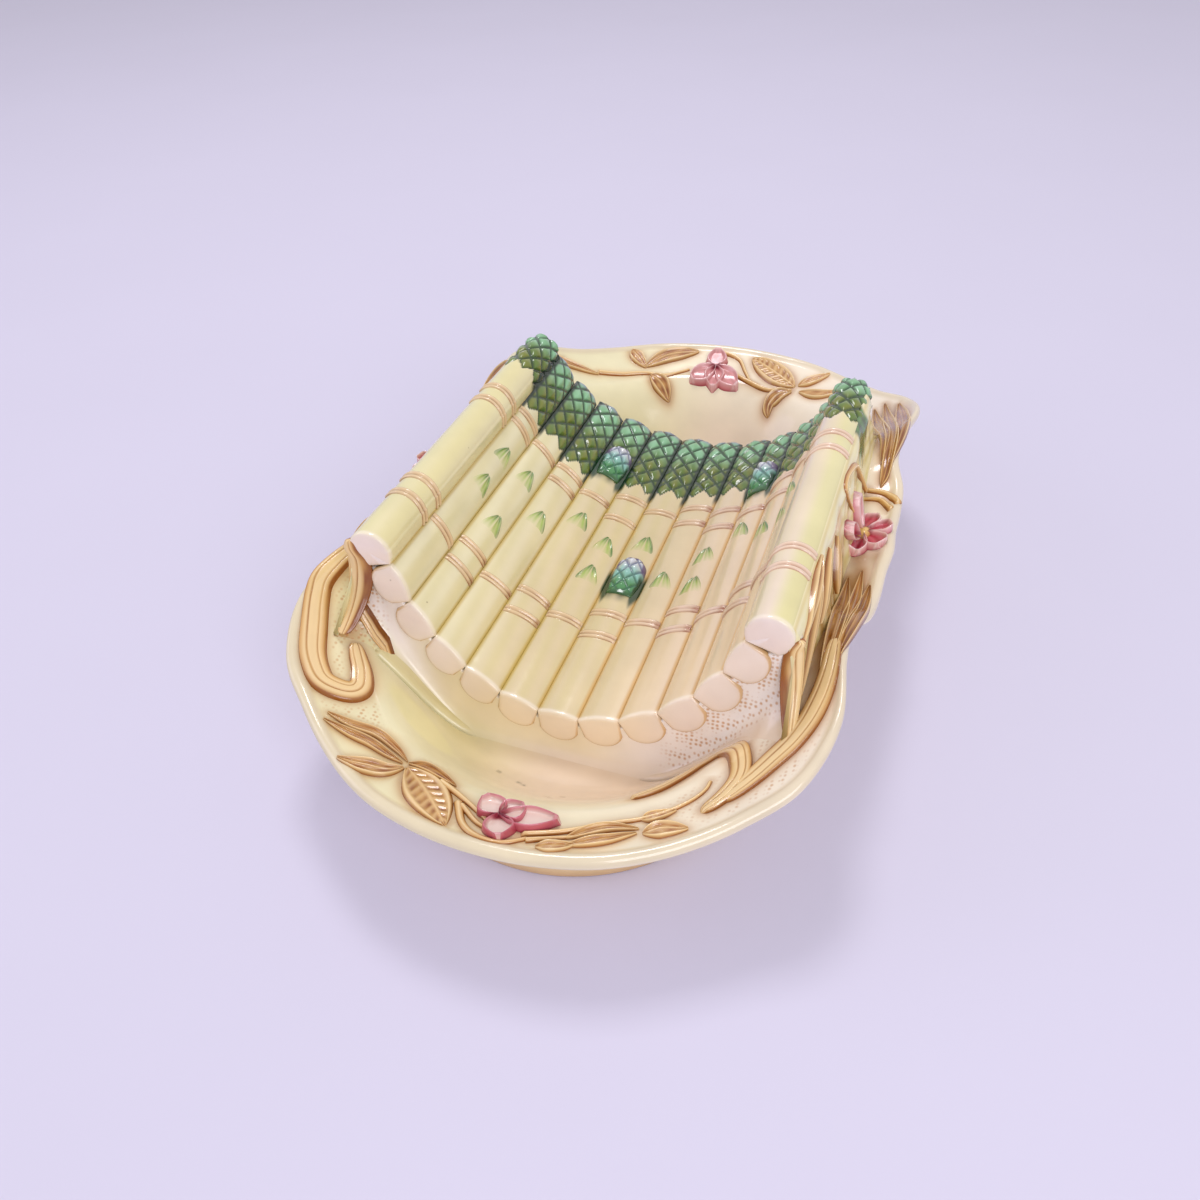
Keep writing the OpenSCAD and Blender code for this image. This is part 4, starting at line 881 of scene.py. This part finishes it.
def bract(name, i, share):
    """Pointed scale: its height rises to its edges and point, and its base melts away."""
    y0 = bed_y(share)
    t = np.linspace(0, 1, 48)[:, None]
    w = np.linspace(-1, 1, 33)[None]
    half = BRACT_W / 2 * np.clip(1 - t ** 1.8, 0, 1) ** 0.75 * (0.75 + 0.25 * ease(t / 0.4)) + 0.2
    u = w * half / (np.radians(pitch(y0)) / 2 * BED_R) + 0.06 * np.sin(i)
    edge = ease((np.abs(w) - 0.5) / 0.4)
    rise = BRACT_H * ease((t - 0.2) / 0.7) * (0.5 + 0.5 * edge + 0.3 * np.exp(-(w / 0.1) ** 2))
    rise = rise * ease((1 - np.abs(w)) / 0.14) * ease((1 - t) / 0.05)
    yy = y0 + BRACT_LEN * t + 0.7 * w * np.sin(3 * i) + 0 * w
    top = spear_place(i, yy, u, crown(u) + rise - 0.05)
    low = spear_place(i, yy, u, crown(u) - SUNK)
    brush = 0.5 + 0.5 * np.sin(14 * w + 5 * t + i)
    lean = np.sign(np.sin(2.6 * i + 40 * share))
    strong = ease((w * lean + 0.2) / 0.8)
    mark = ease((t - 0.02 - 0.2 * (1 - strong)) / 0.55) * (0.6 + 0.4 * brush)
    mark = mark * (1 - 0.75 * np.exp(-(w / 0.12) ** 2))
    stroke = np.maximum(strong * edge, ease((t - 0.62) / 0.3))
    leafy = blend("#9DB650", "#3E7626", stroke)
    tone = blend(spear_tone(top[..., 0], yy, u), leafy, 0.95 * mark)
    return pad(name, top, low, tone)


for node, places in BRACTS.items():
    for k, (i, place) in enumerate(places):
        piece = bract(f"{node}_{k}", i, place)
        if k == 0:
            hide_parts(node)

# Short tips. Three tips of shorter spears that lie over the bed: blue green scales under a
# violet rim, dark green where their sides meet the bed.
SHORT_LEN, SHORT_W, SHORT_H, SHORT_NOSE = 25.0, 15.0, 4.0, 0.74
SHORT_SCALE = (8.0, 6.6)
SHORT_PLACE = np.array([0, 0.3, 0.6, 0.8, 0.93, 1])
SHORT_HALF = np.array([0.8, 0.96, 1, 0.95, 0.8, 0.45])
SHORT_RISE = np.array([0.25, 0.6, 0.9, 1, 0.85, 0.4])


def short_tip(node, i, share):
    """A swelling scaled tip with a round nose; its profile across is a half oval."""
    y0 = bed_y(share)
    t = np.sin(np.linspace(0, 1, 90) * np.pi / 2)[:, None]
    w = np.linspace(-1, 1, 45)[None]
    nose = np.sqrt(1 - np.clip((t - SHORT_NOSE) / (1 - SHORT_NOSE), 0, 1) ** 2)
    narrow = np.where(t > SHORT_NOSE, 0.04 + 0.96 * nose, 1)
    half = SHORT_W / 2 * np.interp(t, SHORT_PLACE, SHORT_HALF) * narrow
    u = w * half / (np.radians(pitch(y0)) / 2 * BED_R)
    yy = y0 + SHORT_LEN * t + 0 * w
    dome = np.sqrt(np.clip(1 - w * w, 0, 1))
    rise = SHORT_H * np.interp(t, SHORT_PLACE, SHORT_RISE) * (0.15 + 0.85 * dome)
    rise = rise * np.where(t > SHORT_NOSE, 0.1 + 0.9 * nose, 1)
    groove, swell = lattice(yy, w * half, y0 - SHORT_SCALE[0], SHORT_SCALE)[1:]
    scales = (0.7 * swell - 0.6 * groove) * dome * ease((0.96 - t) / 0.08)
    top = spear_place(i, yy, u, crown(u) + (rise + scales * ease((t - 0.05) / 0.15)))
    low = spear_place(i, yy, u, crown(u) - SUNK)
    face = blend("#4F8E55", "#8EC2B4", ease((t - 0.2) / 0.3))
    face = blend(face, "#D6D2D8", 0.85 * ease((t - 0.5) / 0.25))
    deep = blend("#1F5A3A", "#4F5A78", ease((t - 0.4) / 0.3))
    tone = blend(face, deep, 0.8 * groove)
    rim = ease((t - 0.86) / 0.05) + ease((np.abs(w) - 0.72) / 0.12) * ease((t - 0.5) / 0.2)
    tone = blend(tone, "#5A3C66", 0.85 * np.clip(rim, 0, 1))
    foot_line = ease((np.abs(w) - 0.78) / 0.14) * ease((0.62 - t) / 0.2)
    tone = blend(tone, "#173D20", 0.95 * foot_line)
    tone = blend("#2C5A26", tone, ease((t - 0.02) / 0.12))
    piece = pad(f"{node}_visual", top, low, tone)
    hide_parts(node)


for node, (i, place) in SHORT_TIPS.items():
    short_tip(node, i, place)

# Sprigs. Straps, leaves and stems pressed in small moulds and stuck on the flange; ochre
# glaze gathers brown in their hollows and breaks pale on the rims and ribs.
SPRIG_H = {"strap": 2.6, "leaf": 2.4, "stem": 2.0}
FLANK_DOWN, CORNER_DOWN, WALL_ALONG, WALL_DOWN = 40.0, 50.0, 150.0, 45.0
CORNER_BEND = 3.0


def on_dish(p, h):
    """Points of the plan raised to the dish's upper surface plus h."""
    return np.concatenate([p, (dish_z(p[..., 0], p[..., 1]) + h)[..., None]], -1)


def on_flank(p, h):
    """Points on the right flank: the plan is Y and the distance down from the crest."""
    return flank_point(p[..., 0], np.clip(p[..., 1] / FLANK_DOWN, 0, 0.98), h)


def on_right_corner(p, h):
    """Points wrapped over the rounded corner of the front wall and the right flank: the plan
    is the distance down the corner and across it, minus being on the wall."""
    middle = flank_point(FLANK_ENDS[0] + NIP, np.clip(p[..., 0] / CORNER_DOWN, 0, 0.99), 0.0)
    across = p[..., 1]
    away = h + CORNER_BEND - np.sqrt(across ** 2 + CORNER_BEND ** 2)
    return middle + np.sqrt(0.5) * np.stack([across + away, across - away, 0 * across], -1)


def on_left_corner(p, h):
    """The same on the left corner."""
    return on_right_corner(p, h) * np.array([-1, 1, 1])


def on_front_wall(p, h):
    """Points on the front wall: the plan is the way along its top edge and down it."""
    k, v = np.clip(p[..., 0] / WALL_ALONG, -1, 1), np.clip(p[..., 1] / WALL_DOWN, 0, 0.98)
    return wall_point(k, v, -1, FRONT_FLARE, h)


def ribbon(path, count, columns):
    """Shares along and across a ribbon, its middle line and the way square to that line."""
    path = cubic_path(path, count)
    d = np.gradient(path, axis=0)
    square = np.stack([-d[:, 1], d[:, 0]], -1) / np.linalg.norm(d, axis=1)[:, None]
    along, across = np.linspace(0, 1, count)[:, None], np.linspace(-1, 1, columns)[None]
    return along, across, path[:, None], square[:, None]


def sprig(name, lay, path, kind, width, brown):
    """Sprig: a ribbon along a path with raised rims, a midrib or ribs, and hollows between."""
    t, w, middle, square = ribbon(path, 150 if kind == "strap" else 70, 41)
    size = sprig_half(kind, t)
    plan = middle + square * (width / 2 * size * w)[..., None]
    shoulder = ease((1 - np.abs(w)) / 0.16)
    if kind == "stem":
        rise = np.sqrt(np.clip(1 - w * w, 0, 1)) * size
        hollow, rim = ease((np.abs(w) - 0.5) / 0.4), np.exp(-(w / 0.3) ** 2)
    elif kind == "leaf":
        edge = np.exp(-((np.abs(w) - 0.76) / 0.13) ** 2)
        rib = np.exp(-(w / 0.1) ** 2) * (0.4 + 0.6 * (width > 8))
        veins = (0.5 + 0.5 * np.cos(2 * np.pi * (9 * t - 1.1 * np.abs(w)))) * (width > 12)
        hollow = (1 - edge) * (1 - rib) * ease((0.85 - np.abs(w)) / 0.15) * (1 - 0.6 * veins)
        rim = np.maximum(np.maximum(edge, 0.6 * rib), 0.4 * veins)
        rise = shoulder * (0.5 + 0.5 * rim) * (0.45 + 0.55 * size)
    else:
        line = np.minimum(np.abs(w + 0.3 + 0.1 * np.sin(7 * t)), 1.5 * np.abs(w - 0.4))
        ribs = ease(line / 0.13)
        cloud = 0.3 * ease(np.sin(5 * t + 2 * w))
        hollow = 0.6 * (1 - ribs) + ease((np.abs(w) - 0.66) / 0.24) + cloud
        rise = shoulder * (0.82 + 0.18 * ribs) * (1 - 0.35 * w * w) * (0.5 + 0.5 * size)
        rim = ribs * ease((0.85 - np.abs(w)) / 0.4)
    rise = SPRIG_H[kind] * rise * ease((1 - np.abs(2 * t - 1)) / 0.03)
    light, mid = "#F4DCA6", blend("#E6C488", "#C48C38", brown)
    dark = blend("#AA5E18", "#7A4208", brown)
    mottled = 0.75 + 0.45 * np.sin(13 * t + 4 * w) * np.sin(7 * w - 5 * t)
    tone = blend(mid, dark, (0.6 + 0.4 * brown) * hollow * mottled)
    tone = blend(tone, light, (0.85 - 0.3 * brown) * rim)
    tone = blend(tone, dark, 0.95 * ease((np.abs(w) - 0.86) / 0.08))
    return pad(name, lay(plan, rise - 0.15), lay(plan, -0.8 + 0 * rise), tone)


for node, rows in SPRIGS.items():
    for k, (kind, shares, width, brown) in enumerate(rows):
        piece = sprig(f"{node}_{k}", on_dish, np.array(shares) * HALF, kind, width, brown)
        if k == 0:
            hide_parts(node)
FLANK_LEAVES = [([(-50, 3), (-64, 5), (-80, 8), (-92, 12)], 5.0, 0.5),
                ([(-58, 6), (-66, 16), (-78, 26), (-88, 34)], 5.5, 0.85),
                ([(-24, 14), (-30, 26), (-36, 36)], 6.5, 1.0),
                ([(-40, 8), (-52, 20), (-66, 32)], 5.0, 0.75)]
for k, (path, width, brown) in enumerate(FLANK_LEAVES):
    sprig(f"right_flank_leaf_{k}", on_flank, path, "leaf", width, brown)
LOOP_STEM = [(40, 38), (30, 20), (20, 9), (10, 5), (2, 4), (-3, 7), (6, 20), (14, 34)]
sprig("right_flank_loop", on_flank, LOOP_STEM, "stem", 3.0, 0.5)
LEFT_CORNER_PATH = [(4, -1), (16, -3), (30, -4), (49, -4)]
LEFT_WALL_PATH = [(-149, 8), (-146, 18), (-136, 26), (-122, 32), (-108, 38), (-98, 44)]
RIGHT_CORNER_PATH = [(10, 0), (22, 0), (36, 0), (49, 1)]
CORNER_STRAPS = [("left", on_left_corner, LEFT_CORNER_PATH, 8.0, 0.8),
                 ("left", on_front_wall, LEFT_WALL_PATH, 8.0, 1.0),
                 ("right", on_right_corner, RIGHT_CORNER_PATH, 8.5, 0.5)]
for k, (side, lay, path, width, brown) in enumerate(CORNER_STRAPS):
    sprig(f"{side}_corner_strap_{k}", lay, path, "strap", width, brown)

# Flowers. Petals pressed one by one and stuck down round a button: pink glaze that breaks
# white on the raised edges. The two end flowers are bells seen from the side.
FLOWER_H = 5.0


def petal(name, lay, path, width, lift, pale=0.0):
    """Petal: an egg-shaped leaf from the middle outward, hollow inside with a raised edge.
    The pale lobes of a bell are pointed."""
    t, w, middle, square = ribbon(path, 44, 31)
    egg = np.clip(np.sin(np.pi * t ** 1.25), 0, 1) ** 0.55
    point = np.clip(np.sin(np.pi * t ** 0.9), 0, 1)
    half = width / 2 * (0.08 + 0.92 * (point if pale else egg))
    plan = middle + square * (half * w)[..., None]
    sides, end = np.exp(-((np.abs(w) - 0.8) / 0.12) ** 2), np.exp(-((t - 0.92) / 0.06) ** 2)
    edge = np.maximum(sides, end)
    rise = (0.3 + 0.45 * edge + lift * t) * ease((1 - np.abs(w)) / 0.14) * ease((1 - t) / 0.05)
    tone = blend("#B03444", "#CE5F6C", 0.5 + 0.5 * np.sin(9 * w + 5 * t))
    inside = ease((t - 0.05) / 0.2) * ease((0.9 - np.abs(w)) / 0.3)
    tone = blend(tone, "#EFDCCB", pale * inside)
    tone = blend(tone, blend("#F3D8CE", "#C05468", pale), 0.85 * edge)
    pooled = 0.7 * ease((0.2 - t) / 0.15) + 0.8 * ease((np.abs(w) - 0.92) / 0.06)
    tone = blend(tone, "#8E2438", pooled)
    return pad(name, lay(plan, FLOWER_H * rise), lay(plan, -0.6 + 0 * rise), tone)


def on_foot(p, h):
    """Points at a side of the dish, raised where the foot of the flank is below them."""
    return on_dish(p, h + 0.8 * np.clip(97 - np.abs(p[..., 0]), 0, 10))


def button(name, middle, r, squash):
    """Domed yellow button in the middle of a flower."""
    t = np.linspace(0, 1, 16)[:, None]
    a = np.linspace(0, 2 * np.pi, 32, endpoint=False)[None]
    ring = r * np.cos(t * np.pi / 2) + 0.05
    plan = middle + np.stack([ring * np.cos(a) * squash, ring * np.sin(a)], -1)
    rows = on_foot(plan, FLOWER_H * (0.1 + 0.75 * np.sin(t * np.pi / 2)) + 0 * a)
    surface(name, rows, blend("#B9703C", "#E8CB74", t))


def open_flower(node, middle, r, first, squash):
    """Six petals at even angles round a button."""
    for k in range(6):
        turn = first + k * np.pi / 3
        way = np.array([np.cos(turn) * squash, np.sin(turn)])
        path = [middle + way * r * s for s in (0.15, 0.6, 1.0)]
        piece = petal(f"{node}_petal_{k}", on_foot, path, r * 0.68, 0.0)
        if k == 0:
            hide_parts(node)
    button(f"{node}_button", middle, r * 0.3, squash)


open_flower("right_flower", np.array([0.87, 0.05]) * HALF, 15.5, 0.35, 0.78)
open_flower("left_flower", np.array([-0.902, -0.01]) * HALF, 14.0, 0.87, 0.78)
SIDE_PETALS = [[(11, 37), (13, 29), (15, 19)], [(4, 35), (-1, 29), (-7, 23)]]
for k, path in enumerate(SIDE_PETALS):
    petal(f"right_flower_side_petal_{k}", on_flank, path, 9.0, 0.0)


def bell(node, middle, tips, width, pale):
    """Bell flower lying on its side: lobes spread from one throat."""
    throat = np.array(middle)
    for k, tip in enumerate(tips):
        path = [throat + (np.array(tip) - throat) * s for s in (0.0, 0.5, 1.0)]
        piece = petal(f"{node}_petal_{k}", on_dish, path, width, 0.1, pale)
        if k == 0:
            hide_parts(node)


FRONT_LOBES = [(-5.0, -160.5), (9.0, -178.5), (25.0, -162.5), (11.0, -160.0)]
BACK_LOBES = [(-11.0, 177.0), (-21.0, 151.5), (7.0, 152.5), (-7.0, 150.0)]
bell("front_flower", (4.0, -167.5), FRONT_LOBES, 12.5, 0.9)
bell("back_flower", (-9.0, 164.0), BACK_LOBES, 13.0, 0.3)

# Table, light and camera. A pale lilac sheet, a broad soft lamp high at the back left, a
# second at the front right, a weak bluish one at the left, and a pale room all round.
tabletop = bpy.data.materials.new("matt white paper")
tabletop.use_nodes = True
sheet = tabletop.node_tree
# Faint clouds of some 15 cm keep the sheet from looking flat.
flat = add(sheet, "ShaderNodeTexCoord").outputs["Object"]
grain = add(sheet, "ShaderNodeTexNoise", {"Vector": flat, "Scale": 6.7}).outputs["Fac"]
tint = add(sheet, "ShaderNodeMapRange", {"Value": grain, "To Min": 0.97,
                                         "To Max": 1.0}).outputs[0]
lilac = add(sheet, "ShaderNodeVectorMath", {0: srgb("#D2CEDE").tolist(), 3: tint},
            operation="SCALE").outputs[0]
paper = sheet.nodes["Principled BSDF"]
sheet.links.new(lilac, paper.inputs["Base Color"])
paper.inputs["Roughness"].default_value = 0.7
bpy.ops.mesh.primitive_plane_add(size=6)
table = bpy.context.object
table.name = "table"
table.data.materials.append(tabletop)
LAMP_AIM = Vector((0, 0, 0.04))


def lamp(name, place, size, power, colour):
    """Square area lamp aimed at the dish."""
    data = bpy.data.lights.new(name, "AREA")
    data.size, data.energy, data.color = size, power, srgb(colour)
    made = bpy.data.objects.new(name, data)
    made.location = place
    made.rotation_euler = (LAMP_AIM - Vector(place)).to_track_quat("-Z", "Y").to_euler()
    bpy.context.scene.collection.objects.link(made)


lamp("window", (-0.3, 0.6, 1.6), 0.42, 8.5, "#FBF9FF")
lamp("fill", (0.9, -1.1, 1.0), 0.9, 12.0, "#F8F6FF")
lamp("side", (-1.5, -0.5, 0.8), 0.9, 4.0, "#E6E0FF")
world = bpy.data.worlds.new("studio")
bpy.context.scene.world = world
world.use_nodes = True
sky = world.node_tree
sky.nodes.clear()
# The room is brighter where it is seen or mirrored than where it only lights.
ray = add(sky, "ShaderNodeLightPath").outputs
mirrored = add(sky, "ShaderNodeMath", {0: ray["Is Camera Ray"], 1: ray["Is Glossy Ray"]},
               operation="MAXIMUM").outputs[0]
seen = add(sky, "ShaderNodeMath", {0: mirrored, 1: ray["Is Transmission Ray"]},
           operation="MAXIMUM").outputs[0]
strength = add(sky, "ShaderNodeMapRange", {"Value": seen, "To Min": 0.75,
                                           "To Max": 1.0}).outputs[0]
glow = add(sky, "ShaderNodeBackground", {"Color": (*srgb("#F0EDF5"), 1), "Strength": strength})
add(sky, "ShaderNodeOutputWorld", {"Surface": glow.outputs[0]})

CAMERA_PLACE = (0.121453, -0.356148, 0.333683)
TO_RIGHT, TO_TOP = (0.93837, 0.34368, -0.03668), (-0.19969, 0.62573, 0.75405)
LOOK = (-0.28210, 0.70025, -0.65579)
camera = bpy.data.objects.new("camera", bpy.data.cameras.new("camera"))
camera.data.sensor_width = 36.0
camera.data.lens = 30.6
aim = Matrix((TO_RIGHT, TO_TOP, [-v for v in LOOK])).transposed().to_4x4()
camera.matrix_world = Matrix.Translation(CAMERA_PLACE) @ aim
bpy.context.scene.collection.objects.link(camera)
bpy.context.scene.camera = camera
bpy.context.scene.view_settings.view_transform = "Standard"
